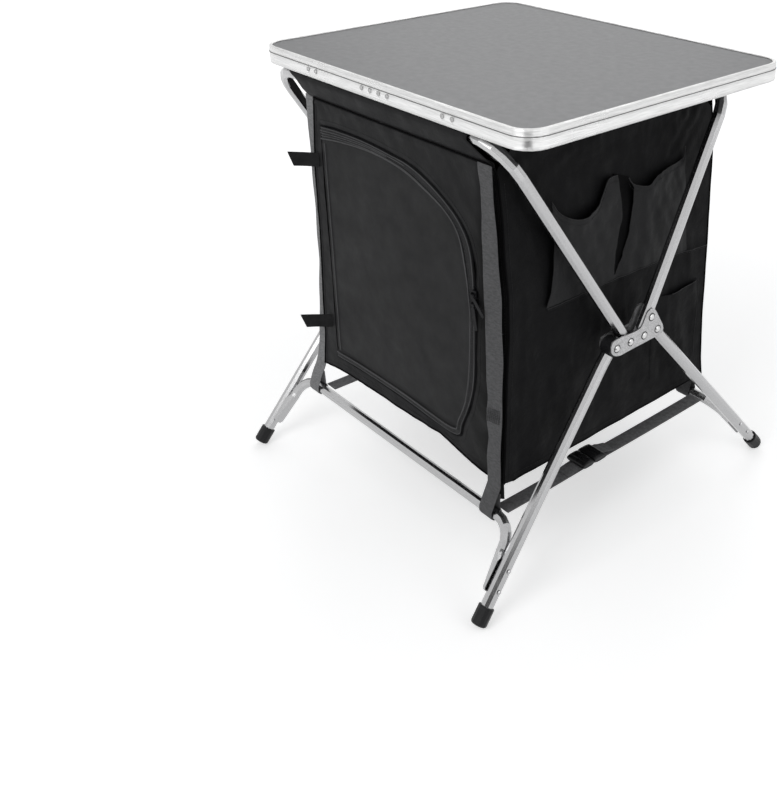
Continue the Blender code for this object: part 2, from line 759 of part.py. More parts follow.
def ribbon(name, path, width, kind):
    """Strap of even thickness whose middle follows (x, y, z) points."""
    bm = bmesh.new()
    pairs = [(bm.verts.new((x - width / 2, y, z)), bm.verts.new((x + width / 2, y, z))) for x, y, z in path]
    for (a, b), (c, d) in zip(pairs, pairs[1:]):
        bm.faces.new((a, b, d, c))
    item = place(name, shift(fromBmesh(bm, name), frameShift), kind)
    solid = item.modifiers.new("thickness", 'SOLIDIFY')
    solid.thickness = webbing
    solid.offset = 0.0


def hangingStrap(name, hang, loopX, front, line, outside):
    """Strap that hangs down a wall and loops under the low rail; front is -1 or 1."""
    rail = along(line, lowRailAt, sideAtFoot)
    wall = cabinetFront if front < 0 else cabinetRear
    y = wall + front * outside
    path = [(x, y, min(rise(share), seamHeight - fit)) for share, x in hang]
    if front < 0:
        arc = circle(rail.y, rail.z, railLoop, 13, math.radians(175), math.radians(365))
    else:
        arc = circle(rail.y, rail.z, railLoop, 13, math.radians(5), math.radians(-185))
    tail = rail.y - front * (railLoop - 0.004)
    arc += [(tail, rail.z + 0.016), (tail + front * 0.004, rail.z + 0.034)]
    path += [(loopX, y, z) for y, z in arc]
    ribbon(name, path, strapWidth, "webbing")


def crossStraps(side, centre, rearEnd):
    """Flat strap between the low rails, joined by a buckle near its middle."""
    tag = sideName(side)
    front = along(frontLeg, lowRailAt, sideAtFoot).y + railLoop + webbing / 2
    rear = along(rearLeg, lowRailAt, sideAtFoot).y - rearEnd
    ribbon("cross_strap_front_" + tag, [(centre, front, crossStrapZ), (centre, buckleY - 0.0010, crossStrapZ)],
           0.0250, "webbing")
    ribbon("cross_strap_rear_" + tag, [(centre, buckleY + 0.0010, crossStrapZ), (centre, rear, crossStrapZ)],
           0.0250, "webbing")


def buckle(side, centre):
    """Side release buckle on the strap: the socket takes the plug's tongue from the rear."""
    tag = sideName(side)
    z = crossStrapZ + webbing / 2 + fit + 0.0062
    socket = [(-0.0245, 0.0042), (-0.0215, 0.0062), (-0.0030, 0.0062), (-0.0010, 0.0050), (-0.0010, 0.0031),
              (-0.0165, 0.0031), (-0.0165, -0.0031), (-0.0010, -0.0031), (-0.0010, -0.0062), (-0.0245, -0.0062)]
    plug = [(0.0245, -0.0062), (0.0245, 0.0042), (0.0215, 0.0062), (0.0020, 0.0062), (0.0000, 0.0050),
            (-0.0007, 0.0027), (-0.0150, 0.0027), (-0.0160, 0.0017), (-0.0160, -0.0017), (-0.0150, -0.0027),
            (-0.0007, -0.0027), (0.0000, -0.0062)]
    for name, outline in (("buckle_socket_", socket), ("buckle_plug_", plug)):
        mesh = plan(name, [[(buckleY + y, z + h) for y, h in outline]], buckleWidth, sideTurn)
        place(name + tag, shift(mesh, centre + frameShift), "plastic")


def tieTab(name, z, reach):
    """Short tab that ties the rolled door; it stands out from the hinge side."""
    length = 0.046
    angle = math.atan2(reach[1], reach[0])
    mesh = plan(name, [[(0.0, -0.0102), (length - 0.003, -0.0102), (length, -0.0080), (length, 0.0080),
                        (length - 0.003, 0.0102), (0.0, 0.0102)]], webbing, frontTurn)
    mesh.transform(Matrix.Rotation(angle, 4, 'Z'))
    y = cabinetFront - cloth / 2 - fit - webbing / 2 * abs(math.cos(angle)) - 0.0002
    place(name, shift(mesh, hingeX - 0.004 + frameShift, y, z), "blackWebbing")


def zipSlider(name, z):
    """Slider body with two lugs and the pin that the pull swings on."""
    front = cabinetFront - cloth / 2 - fit
    bm = bmesh.new()
    bmesh.ops.create_cube(bm, size=1.0)
    bmesh.ops.scale(bm, verts=bm.verts, vec=(0.0080, 0.0030, 0.0120))
    bmesh.ops.bevel(bm, geom=bm.edges[:], offset=0.0007, segments=2, profile=0.5, affect='EDGES')
    bmesh.ops.translate(bm, verts=bm.verts, vec=(0, front - 0.0015, 0))
    meshes = [shift(fromBmesh(bm, name), sliderX, 0.0, z)]
    eye = front - 0.0048
    for way in (1, -1):
        lug = [(eye - 0.0012, z + 0.0018), (front - 0.0025, z + 0.0030), (front - 0.0025, z - 0.0030),
               (eye - 0.0012, z - 0.0018)]
        meshes.append(shift(plan(name, [lug], 0.0010, sideTurn), sliderX + way * 0.0030))
    meshes.append(lathe([(0.0, 0.0), (0.0006, 0.0), (0.0006, 0.0062), (0.0, 0.0062)],
                        (sliderX - 0.0031, eye, z), (1, 0, 0), 10))
    item = unite(name, meshes, "plastic")
    item.data.transform(Matrix.Translation((frameShift, 0, 0)))


def zipPull(name, z, length, slant):
    """Pull tag: an eye round the pin, a short neck and a flat tongue that hangs aslant."""
    y = cabinetFront - cloth / 2 - fit - 0.0048
    ring = plan(name, [circle(y, z, 0.0016, 16), circle(y, z, 0.0009, 12)], 0.0040, sideTurn)
    neck = plan(name, [[(-0.0018, z - 0.0012), (0.0018, z - 0.0012), (0.0018, z - pullNeck - 0.0010),
                        (-0.0018, z - pullNeck - 0.0010)]], 0.0012, frontTurn)
    tongue = [(-0.0018, 0.0), (0.0018, 0.0), (0.0030, -0.0035), (0.0030, 0.002 - length), (0.0018, -length),
              (-0.0018, -length), (-0.0030, 0.002 - length), (-0.0030, -0.0035)]
    sheet = plan(name, [tongue], 0.0011, frontTurn)
    sheet.transform(Matrix.Rotation(-slant, 4, 'Y'))
    item = unite(name, [ring, shift(neck, 0.0, y), shift(sheet, 0.0, y, z - pullNeck)], "plastic")
    item.data.transform(Matrix.Translation((sliderX + frameShift, 0, 0)))


# build
rivetCutter = makeCutter()
tableRim()
tableBoard()
tableHook("hook_front_left", *hookGroups[0])
tableHook("hook_front_middle", *hookGroups[1])
tableHook("hook_front_right", *hookGroups[2])
rearClip("clip_rear_left", -rearClipX)
rearClip("clip_rear_right", rearClipX)

upperTube("upper_tube_front", frontTube, eyeRadius + fit)
rear = upperTube("upper_tube_rear", rearTube, -0.0100)
cut = rear.modifiers.new("rivet_holes", 'BOOLEAN')
cut.operation = 'DIFFERENCE'
cut.solver = 'EXACT'
cut.object = rivetCutter
for side in (1, -1):
    tag = sideName(side)
    legTube("leg_front_" + tag, frontLeg, side)
    legTube("leg_rear_" + tag, rearLeg, side)
    knuckle("knuckle_leg_front_" + tag, frontLeg, side)
    knuckle("knuckle_leg_rear_" + tag, rearLeg, side)
    knuckle("knuckle_tube_front_" + tag, frontTube, side)
    jointPlates("joint_plates_" + tag, side)
    pivotRivet("rivet_leg_front_" + tag, frontLegPivot, side)
    pivotRivet("rivet_tube_front_" + tag, frontTubePivot, side)
    pivotRivet("rivet_leg_rear_" + tag, rearLegPivot, side)
    footCap("foot_front_" + tag, frontLeg, side)
    footCap("foot_rear_" + tag, rearLeg, side)
lowRail("low_rail_front", frontLeg)
lowRail("low_rail_rear", rearLeg)

frontPanel()
doorFlap()
rearPanel()
sideFront = cabinetFront + cloth / 2 + fit
sideRear = cabinetRear - cloth / 2 - fit
sidePanel("side_panel_right", rightSide, sideFront, sideRear, tapered)
sidePanel("side_panel_left", leftSide, sideFront + webbing + fit, sideRear - webbing - fit, lambda y: 0.0)
flatPanel("bottom_panel", rise(floorShare))
flatPanel("shelf_panel", rise(shelfShare))
sidePockets()
outside = cloth / 2 + fit + webbing / 2
hangingStrap("strap_front_right", rightStrap, rightLoopX, -1, frontLeg, outside)
hangingStrap("strap_front_left", leftStrap, leftLoopX, -1, frontLeg, -outside)
hangingStrap("strap_rear_right", rearStrap, rearLoopX, 1, rearLeg, outside)
hangingStrap("strap_rear_left", leftStrap, leftLoopX, 1, rearLeg, -outside)
crossStrapZ = along(frontLeg, lowRailAt, sideAtFoot).z + crossStrapRise
crossStraps(1, crossStrapX, lowRailRadius + 0.0013)
crossStraps(-1, crossStrapLeftX, railLoop + webbing / 2)
buckle(1, crossStrapX)
buckle(-1, crossStrapLeftX)
tieTab("tie_tab_upper", rise(0.7922), (-0.036, -0.0273))
tieTab("tie_tab_lower", rise(0.2048), (-0.0334, -0.0352))
upperSliderZ = rise(upperSliderShare)
lowerSliderZ = upperSliderZ - lowerSliderGap
zipSlider("zip_slider_upper", upperSliderZ)
zipSlider("zip_slider_lower", lowerSliderZ)
zipPull("zip_pull_upper", upperSliderZ, 0.0300, math.radians(45))
zipPull("zip_pull_lower", lowerSliderZ, 0.0330, math.radians(10))
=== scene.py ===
import bpy
import bmesh
from math import copysign, cos, exp, pi, radians, sin, sqrt
from mathutils import Vector, Matrix, noise
from mathutils.geometry import delaunay_2d_cdt


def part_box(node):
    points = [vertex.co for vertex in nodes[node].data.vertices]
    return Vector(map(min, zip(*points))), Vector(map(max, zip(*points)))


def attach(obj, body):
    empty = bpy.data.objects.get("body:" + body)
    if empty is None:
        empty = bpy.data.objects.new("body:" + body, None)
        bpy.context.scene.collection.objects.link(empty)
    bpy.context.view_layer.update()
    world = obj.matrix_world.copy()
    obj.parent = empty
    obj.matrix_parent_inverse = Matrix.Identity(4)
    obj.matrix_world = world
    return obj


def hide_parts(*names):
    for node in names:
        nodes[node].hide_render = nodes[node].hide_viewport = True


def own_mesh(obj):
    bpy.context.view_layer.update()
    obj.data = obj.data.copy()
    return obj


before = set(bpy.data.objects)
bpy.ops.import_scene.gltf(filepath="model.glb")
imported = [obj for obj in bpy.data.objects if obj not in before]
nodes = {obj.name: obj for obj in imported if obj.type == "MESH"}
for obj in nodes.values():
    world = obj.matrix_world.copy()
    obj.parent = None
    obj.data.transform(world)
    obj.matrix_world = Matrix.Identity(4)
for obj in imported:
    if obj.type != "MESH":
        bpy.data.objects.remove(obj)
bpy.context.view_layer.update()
print("frame loaded:", len(nodes), "nodes")


def addObject(name, data):
    item = bpy.data.objects.new(name, data)
    bpy.context.scene.collection.objects.link(item)
    return item


class Finish:
    # one material and the nodes that make its look
    def __init__(self, name, colour, roughness=0.5, metallic=0.0, gloss=0.5):
        self.material = bpy.data.materials.new(name)
        self.material.use_nodes = True
        self.tree = self.material.node_tree
        self.shader = self.tree.nodes["Principled BSDF"]
        self.colour = colour
        self.normal = None
        for socket, value in (("Base Color", (*colour, 1)), ("Roughness", roughness), ("Metallic", metallic),
                              ("Specular IOR Level", gloss)):
            self.shader.inputs[socket].default_value = value

    def node(self, kind, **values):
        made = self.tree.nodes.new(kind)
        for key, value in values.items():
            if hasattr(made, key):
                setattr(made, key, value)
            else:
                made.inputs[key.replace("_", " ")].default_value = value
        return made

    def link(self, source, target):
        self.tree.links.new(source, target)

    def paint(self, source, socket):
        self.link(source, self.shader.inputs[socket])

    def space(self, kind, scale):
        mapping = self.node("ShaderNodeMapping", Scale=scale)
        self.link(self.node("ShaderNodeTexCoord").outputs[kind], mapping.inputs["Vector"])
        return mapping.outputs["Vector"]

    def cloudy(self, scale, detail=3, rough=0.5, stretch=(1, 1, 1)):
        cloud = self.node("ShaderNodeTexNoise", Scale=scale, Detail=detail, Roughness=rough)
        self.link(self.space("Object", stretch), cloud.inputs["Vector"])
        return cloud.outputs["Fac"]

    def remap(self, source, start, end, low, high, **values):
        fit = self.node("ShaderNodeMapRange", From_Min=start, From_Max=end, To_Min=low, To_Max=high, **values)
        self.link(source, fit.inputs["Value"])
        return fit.outputs["Result"]

    def times(self, a, b):
        made = self.node("ShaderNodeMath", operation="MULTIPLY")
        self.link(a, made.inputs[0])
        self.link(b, made.inputs[1])
        return made.outputs[0]

    def vary(self, source, low, high):
        self.paint(self.remap(source, 0.3, 0.7, low, high), "Roughness")

    def tint(self, source, low, high, start=0.3, end=0.7):
        # the finish's own colour, between two factors
        ramp = self.node("ShaderNodeValToRGB")
        for stop, at, factor in zip(ramp.color_ramp.elements, (start, end), (low, high)):
            stop.position = at
            stop.color = (*(c * factor for c in self.colour), 1)
        self.link(source, ramp.inputs["Fac"])
        self.paint(ramp.outputs["Color"], "Base Color")

    def bump(self, source, strength, depth):
        bump = self.node("ShaderNodeBump", Strength=strength, Distance=depth)
        self.link(source, bump.inputs["Height"])
        if self.normal is not None:
            self.link(self.normal, bump.inputs["Normal"])
        self.normal = bump.outputs["Normal"]
        self.paint(self.normal, "Normal")

    def soften(self, radius):
        # rounds the look of small steps along a bent edge
        self.normal = self.node("ShaderNodeBevel", samples=6, Radius=radius).outputs["Normal"]

    def fade(self, bands, least):
        # painted shade: darkens the colour where two bands of X, Y or Z meet
        split = self.node("ShaderNodeSeparateXYZ")
        self.link(self.node("ShaderNodeTexCoord").outputs["Object"], split.inputs[0])
        shares = [self.remap(split.outputs[axis], start, end, 0, 1, interpolation_type="SMOOTHSTEP")
                  for axis, start, end in bands]
        mix = self.node("ShaderNodeMix", data_type="RGBA", blend_type="MULTIPLY")
        self.link(self.times(*shares), mix.inputs[0])
        # sockets 6, 7 and 2 are the mix node's own for colours
        self.link(self.shader.inputs["Base Color"].links[0].from_socket, mix.inputs[6])
        mix.inputs[7].default_value = (least, least, least, 1)
        self.paint(mix.outputs[2], "Base Color")

    def weave(self, strength, depth, along, across):
        # over and under threads, by the piece's own length and width in metres
        heights = []
        for way, size in (("X", along), ("Y", across)):
            wave = self.node("ShaderNodeTexWave", wave_type="BANDS", bands_direction=way, Scale=1)
            scale = 6.2832 / (20 * size)        # the texture repeats every 2 pi / 20
            self.link(self.space("UV", (scale, scale, 1)), wave.inputs["Vector"])
            heights.append(wave.outputs["Fac"])
        both = self.times(*heights)
        self.bump(both, strength, depth)
        return both


# camera and light
camera = {
    "place": (1.1591, -1.0110, 1.0700),
    "azimuth": 46.57,
    "elevation": 21.64,
    "roll": 0.27,
    "lens": 47.556,
    "shift": (-0.2020, -0.2501),
}

studio = {
    "lamps": {
        "keyLight": {"place": (0.6, -2.4, 2.3), "size": 1.6, "power": 27},
        "sideLight": {"place": (2.7, 0.3, 1.5), "size": 1.8, "power": 13},
        "backLight": {"place": (-1.6, 1.6, 2.4), "size": 1.8, "power": 14},
    },
    "sky": (0.82, 0.83, 0.84),
    "skyStrength": 0.45,
    "floor": 6.0,
    "floorColour": (0.86, 0.86, 0.86),
    "floorGlow": (0.6, 3.0, 0.50, 0.74),     # two distances from the object, and the glow at each
    "card": {"place": (1.05, -1.02, 0.30), "width": 0.62, "height": 0.66},
}


def setCamera():
    data = bpy.data.cameras.new("camera")
    cam = addObject("camera", data)
    az, el, roll = (radians(camera[k]) for k in ("azimuth", "elevation", "roll"))
    ahead = Vector((-sin(az) * cos(el), cos(az) * cos(el), -sin(el)))
    right = Vector((cos(az), sin(az), 0))
    up = right.cross(ahead)
    right, up = right * cos(roll) + up * sin(roll), up * cos(roll) - right * sin(roll)
    turned = Matrix((right, up, -ahead)).transposed().to_4x4()
    cam.matrix_world = Matrix.Translation(camera["place"]) @ turned
    data.sensor_width = 36
    data.lens = camera["lens"]
    data.shift_x, data.shift_y = camera["shift"]
    data.clip_start, data.clip_end = 0.05, 50
    bpy.context.scene.camera = cam


def setLights():
    for name, spec in studio["lamps"].items():
        light = bpy.data.lights.new(name, "AREA")
        light.energy = spec["power"]
        light.size = spec["size"]
        lamp = addObject(name, light)
        lamp.location = spec["place"]
        lamp.rotation_mode = "QUATERNION"
        lamp.rotation_quaternion = (Vector((0, 0, 0.35)) - lamp.location).to_track_quat("-Z", "Y")


def whiteRays(tree):
    # camera, glossy and transmission rays together, as one share
    path = tree.nodes.new("ShaderNodeLightPath")
    share = path.outputs["Is Camera Ray"]
    for ray in ("Is Glossy Ray", "Is Transmission Ray"):
        either = tree.nodes.new("ShaderNodeMath")
        either.operation = "MAXIMUM"
        tree.links.new(share, either.inputs[0])
        tree.links.new(path.outputs[ray], either.inputs[1])
        share = either.outputs[0]
    return share


def setWorld():
    world = bpy.data.worlds.new("studioSky")
    bpy.context.scene.world = world
    world.use_nodes = True
    tree = world.node_tree
    tree.nodes.clear()
    mix = tree.nodes.new("ShaderNodeMixShader")
    tree.links.new(whiteRays(tree), mix.inputs[0])
    for slot, colour, strength in ((1, studio["sky"], studio["skyStrength"]), (2, (1, 1, 1), 1)):
        sky = tree.nodes.new("ShaderNodeBackground")
        sky.inputs["Color"].default_value = (*colour, 1)
        sky.inputs["Strength"].default_value = strength
        tree.links.new(sky.outputs[0], mix.inputs[slot])
    tree.links.new(mix.outputs[0], tree.nodes.new("ShaderNodeOutputWorld").inputs[0])


def addBoard(name, corners, finish):
    mesh = bpy.data.meshes.new(name)
    mesh.from_pydata(corners, [], [(0, 1, 2, 3)])
    mesh.materials.append(finish.material)
    return addObject(name, mesh)


def setFloor():
    # seen directly or in metal the paper is white, but the object's shadow stays on it
    half = studio["floor"]
    paper = Finish("floorPaper", studio["floorColour"], 0.9, gloss=0.1)
    away = paper.node("ShaderNodeVectorMath", operation="LENGTH")
    paper.link(paper.node("ShaderNodeTexCoord").outputs["Object"], away.inputs[0])
    glow = paper.node("ShaderNodeEmission", Color=(1, 1, 1, 1))
    share = paper.remap(away.outputs["Value"], *studio["floorGlow"])
    paper.link(paper.times(share, whiteRays(paper.tree)), glow.inputs["Strength"])
    both = paper.node("ShaderNodeAddShader")
    paper.link(paper.shader.outputs[0], both.inputs[0])
    paper.link(glow.outputs[0], both.inputs[1])
    paper.link(both.outputs[0], paper.tree.nodes["Material Output"].inputs["Surface"])
    floor = addBoard("floor", [(-half, -half, 0), (half, -half, 0), (half, half, 0), (-half, half, 0)], paper)


def setCard():
    # dark studio card that only the metal sees
    spec = studio["card"]
    w, h = spec["width"] / 2, spec["height"] / 2
    card = addBoard("card", [(-w, 0, -h), (w, 0, -h), (w, 0, h), (-w, 0, h)], Finish("cardBlack", (0.01, 0.01, 0.01)))
    card.location = spec["place"]
    card.rotation_euler = (0, 0, radians(camera["azimuth"]))
    card.visible_camera = card.visible_diffuse = card.visible_shadow = False


setCamera()
setLights()
setWorld()
setFloor()
setCard()
bpy.context.scene.view_settings.view_transform = "Standard"
print("camera, lights and floor ready")


# finishes; a noise is (scale, detail, roughness)
def hardFinish(name, colour, roughness, tone, rough, grain, metallic=1.0, gloss=0.5):
    # tone and rough are a noise and the range it gives, grain is a noise, its strength and its depth
    f = Finish(name, colour, roughness, metallic, gloss)
    f.tint(f.cloudy(*tone[0]), *tone[1:])
    f.vary(f.cloudy(*rough[0]), *rough[1:])
    f.bump(f.cloudy(*grain[0]), *grain[1:])
    return f.material


def rimFinish():
    spec = {"colour": (0.76, 0.76, 0.757), "brush": (260, 4, 0.6, (0.12, 0.12, 4.0)), "cornerRound": 0.0070}
    f = Finish("brushedAluminium", spec["colour"], 0.26, 1.0)
    lines = f.cloudy(*spec["brush"])
    f.tint(lines, 0.80, 1.12)
    f.vary(f.cloudy(9), 0.24, 0.34)
    f.soften(spec["cornerRound"])
    f.bump(lines, 0.18, 0.0003)
    return f.material


def plasticFinish(name, colour, roughness, gloss=0.25):
    return hardFinish(name, colour, roughness, [(60, 3), 0.8, 1.35], [(90, 4), roughness - 0.08, roughness + 0.1],
                      [(1100, 3, 0.6), 0.25, 0.0003], 0.0, gloss)


def clothFinish(name, colour, crease=1.0, gloss=0.12, paintedShadeBands=()):
    spec = {"thread": 0.0009, "roughness": (0.52, 0.68), "shaded": 0.30}
    f = Finish(name, colour, 0.6, gloss=gloss)
    f.tint(f.cloudy(7, 4, 0.6), 0.86, 1.14)
    f.vary(f.cloudy(30, 4, 0.6), *spec["roughness"])
    f.weave(0.22, 0.0002, spec["thread"], spec["thread"])
    f.bump(f.cloudy(38, 5, 0.62), 0.5 * crease, 0.0022)
    # painted shade inside the given bands
    if paintedShadeBands:
        f.fade(paintedShadeBands, spec["shaded"])
    return f.material


def webbingFinish(name, colour, ribs=0.0016):
    spec = {"across": 0.0011, "roughness": (0.58, 0.78), "wear": (170, 4, 0.7, (1, 1, 2.5))}
    f = Finish(name, colour, 0.7, gloss=0.15)
    threads = f.weave(0.5, 0.0004, ribs, spec["across"])
    worn = f.node("ShaderNodeMath", operation="MULTIPLY_ADD")
    worn.inputs[1].default_value = 0.45
    f.link(threads, worn.inputs[0])
    f.link(f.cloudy(*spec["wear"]), worn.inputs[2])
    f.tint(worn.outputs[0], 0.62, 1.40, 0.40, 0.95)
    f.vary(f.cloudy(60), *spec["roughness"])
    f.bump(f.cloudy(90, 4), 0.3, 0.0006)
    return f.material


finishes = {
    "board": hardFinish("greyLaminate", (0.152, 0.153, 0.158), 0.42, [(260, 3), 0.98, 1.02],
                        [(90, 3, 0.6), 0.38, 0.46], [(900, 2), 0.12, 0.0003], 0.0, 0.35),
    "rim": rimFinish(),
    "tube": hardFinish("satinTube", (0.46, 0.46, 0.465), 0.28, [(900, 3, 0.6), 0.86, 1.12],
                       [(25, 4, 0.7), 0.17, 0.25], [(1400, 2), 0.04, 0.0001]),
    "plate": hardFinish("zincPlate", (0.45, 0.45, 0.455), 0.42, [(700, 4, 0.7), 0.70, 1.25, 0.38, 0.62],
                        [(120, 4), 0.36, 0.55], [(700, 3), 0.2, 0.0003]),
    "rivet": hardFinish("rivetSteel", (0.42, 0.42, 0.42), 0.32, [(500, 3), 0.8, 1.1],
                        [(300, 3), 0.25, 0.45], [(900, 2), 0.15, 0.0002]),
    "rivetHead": hardFinish("brightRivet", (0.64, 0.64, 0.64), 0.20, [(500, 3), 0.9, 1.05],
                            [(300, 3), 0.16, 0.28], [(900, 2), 0.10, 0.0002]),
    "fitting": plasticFinish("fittingPlastic", (0.009, 0.009, 0.010), 0.42),
    "buckle": plasticFinish("bucklePlastic", (0.014, 0.014, 0.015), 0.30),
    "zip": plasticFinish("zipBlack", (0.007, 0.007, 0.008), 0.36, 0.10),
    "groove": plasticFinish("grooveShade", (0.16, 0.16, 0.16), 0.6),
    "wall": clothFinish("blackCloth", (0.0122, 0.0122, 0.0129)),
    # painted shade: the front wall's cloth darker towards its right edge, below the sleeve
    "front": clothFinish("blackClothFront", (0.0122, 0.0122, 0.0129), 1.0, 0.12,
                         [("X", 0.176, 0.204), ("Z", 0.600, 0.520)]),
    # the same black cloth, darker as painted shade on the side walls and the low pocket
    "side": clothFinish("blackClothPaintedShade", (0.0046, 0.0046, 0.0051), 1.6, 0.07),
    # the same black cloth, lighter as painted light on the upper pockets
    "pocket": clothFinish("pocketClothPaintedLight", (0.0180, 0.0180, 0.0188), 1.2),
    "door": clothFinish("doorCloth", (0.0190, 0.0190, 0.0197), 0.30),
    "inner": clothFinish("innerCloth", (0.008, 0.008, 0.009), 1.0, 0.08),
    "tape": clothFinish("zipTape", (0.031, 0.031, 0.032), 0.4),
    "piping": clothFinish("pipingCloth", (0.082, 0.082, 0.084), 0.3),
    # black binding, also used for dark pieces that are painted shade: the line in the crease under the front sleeve's
    # seam and the sheet inside the pocket pleat
    "dark": clothFinish("bindingClothAndPaintedShade", (0.0025, 0.0025, 0.0028), 0.5, 0.03),
    "webbing": webbingFinish("greyWebbing", (0.109, 0.109, 0.112)),
    # the grey webbing made lighter as painted light, for the front left strap
    "webbingPaintedLight": webbingFinish("greyWebbingPaintedLight", (0.270, 0.270, 0.274)),
    # the grey webbing made lighter as painted light where the cabinet shades the cross straps and their ends
    "crossWebbingPaintedLight": webbingFinish("crossGreyWebbingPaintedLight", (0.185, 0.185, 0.189)),
    "tab": webbingFinish("blackWebbing", (0.010, 0.010, 0.0105)),
    "thread": webbingFinish("sewingThread", (0.022, 0.022, 0.023), 0.0006),
    "greyThread": webbingFinish("greyThread", (0.060, 0.060, 0.062), 0.0006),
}

nodeFinish = {
    "tabletop_panel": "board", "tabletop_rim": "rim", "hook_": "rivet", "clip_": "rivet", "upper_tube": "tube",
    "leg_": "tube", "low_rail": "tube", "joint_plates": "plate", "rivet_": "rivetHead", "knuckle_": "fitting",
    "foot_": "fitting", "buckle_": "buckle", "zip_": "zip",
}


def dressNodes():
    for name, item in nodes.items():
        for start, kind in nodeFinish.items():
            if name.startswith(start):
                for slot in item.material_slots:
                    slot.material = finishes[kind]
                break


dressNodes()
print("materials ready")


# shared shapes
place = {
    "frame": -0.0119,        # middle of the tube frame
    "front": -0.2327,        # plane of the front wall
    "rear": 0.2118,
    "seam": 0.636,           # where the walls meet the sleeves
    "sheet": 0.0012,         # how far the walls' outer faces lie out of these planes
    "thick": 0.0011,         # cloth of the walls and the door
}


def addPiece(name, mesh, finish, body, replace=()):
    # a list of meshes becomes one
    if isinstance(mesh, list):
        mesh = joinMeshes(name, mesh)
    piece = addObject(name, mesh)
    mesh.materials.append(finishes[finish])
    if replace:
        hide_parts(*replace)
    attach(piece, body)
    return piece


def foldBack(piece):
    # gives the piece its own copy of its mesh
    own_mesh(piece)


def foldUp(piece):
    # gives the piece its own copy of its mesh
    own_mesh(piece)


def addMesh(name, points, faces, uv=None, smoothAngle=None):
    mesh = bpy.data.meshes.new(name)
    mesh.from_pydata([tuple(p) for p in points], [], faces)
    if uv is not None:
        layer = mesh.uv_layers.new(name="cloth")
        for loop in mesh.loops:
            layer.data[loop.index].uv = uv[loop.vertex_index]
    mesh.shade_smooth()
    if smoothAngle:
        mesh.set_sharp_from_angle(angle=radians(smoothAngle))
    return mesh


def smoothLine(line, steps=6):
    # a curve through the given points
    points = [Vector(p) for p in line]
    out = []
    for i in range(len(points) - 1):
        a, b, c, d = points[max(i - 1, 0)], points[i], points[i + 1], points[min(i + 2, len(points) - 1)]
        for k in range(steps):
            t = k / steps
            out.append(0.5 * ((2 * b) + (c - a) * t + (2 * a - 5 * b + 4 * c - d) * t * t
                              + (3 * b - a - 3 * c + d) * t ** 3))
    out.append(points[-1])
    return out


def distances(path):
    # how far along the path each of its points lies
    out = [0.0]
    for a, b in zip(path, path[1:]):
        out.append(out[-1] + (b - a).length)
    return out


def evenLine(line, pitch):
    # the same line with points at an even distance
    line = [Vector(p) for p in line]
    lengths = distances(line)
    count = max(2, round(lengths[-1] / pitch))
    out, k = [], 0
    for i in range(count + 1):
        at = lengths[-1] * i / count
        while k < len(lengths) - 2 and lengths[k + 1] < at:
            k += 1
        span = max(lengths[k + 1] - lengths[k], 1e-9)
        out.append(line[k].lerp(line[k + 1], min(1.0, (at - lengths[k]) / span)))
    return out


def runAt(path, i):
    # the path's direction at one of its points
    return (path[min(i + 1, len(path) - 1)] - path[max(i - 1, 0)]).normalized()


def offsetOut(line, distance):
    # the same flat line, moved to its left
    runs = [runAt(line, i) for i in range(len(line))]
    return [Vector((p[0] - run.y * distance, p[1] + run.x * distance)) for p, run in zip(line, runs)]


def nearLine(line, x, z):
    # distance from a point to the line
    best = 1e9
    for a, b in zip(line, line[1:]):
        dx, dz = b[0] - a[0], b[1] - a[1]
        t = ((x - a[0]) * dx + (z - a[1]) * dz) / max(dx * dx + dz * dz, 1e-12)
        t = min(1.0, max(0.0, t))
        ex, ez = a[0] + t * dx - x, a[1] + t * dz - z
        best = min(best, ex * ex + ez * ez)
    return sqrt(best)


def inside(outline, x, z):
    # whether a point lies within the outline
    hit = False
    xj, zj = outline[-1]
    for xi, zi in outline:
        if (zi > z) != (zj > z) and x < (xj - xi) * (z - zi) / (zj - zi) + xi:
            hit = not hit
        xj, zj = xi, zi
    return hit


def soft(value, low, high):
    # 0 below low, 1 above high and a smooth rise between them
    t = min(1.0, max(0.0, (value - low) / (high - low)))
    return t * t * (3 - 2 * t)


def valueAt(table, at):
    # straight lines between the table's rows
    for (a, va), (b, vb) in zip(table, table[1:]):
        if at <= b:
            t = min(1.0, max(0.0, (at - a) / (b - a)))
            return va + (vb - va) * t
    return table[-1][1]


def turn(share, count):
    # angle at one of the even steps round a circle
    return 2 * pi * share / count


def bell(value, width):
    # a ridge, 1 on its crest
    return exp(-(value / width) ** 2)


trimStep, zipStep = 0.006, 0.004       # pitch of the points along hems and bindings, and along the zip


def laid(point, line, dx=0.0, dz=0.0, lift=0.0):
    # a line moved a little in its plane and laid on a surface
    return [point(p[0] + dx, p[1] + dz, lift) for p in line]


def ringFaces(rings, count, first=0):
    # quads between closed rings of points, with both ends capped
    faces = []
    for i in range(rings - 1):
        for k in range(count):
            a, b = first + i * count + k, first + i * count + (k + 1) % count
            faces.append((a, b, b + count, a + count))
    faces.append(tuple(first + k for k in reversed(range(count))))
    faces.append(tuple(first + (rings - 1) * count + k for k in range(count)))
    return faces


def gridFaces(lines, count):
    # quads between open lines of points, each with count points
    return [(i * count + k, i * count + k + 1, (i + 1) * count + k + 1, (i + 1) * count + k)
            for i in range(lines - 1) for k in range(count - 1)]


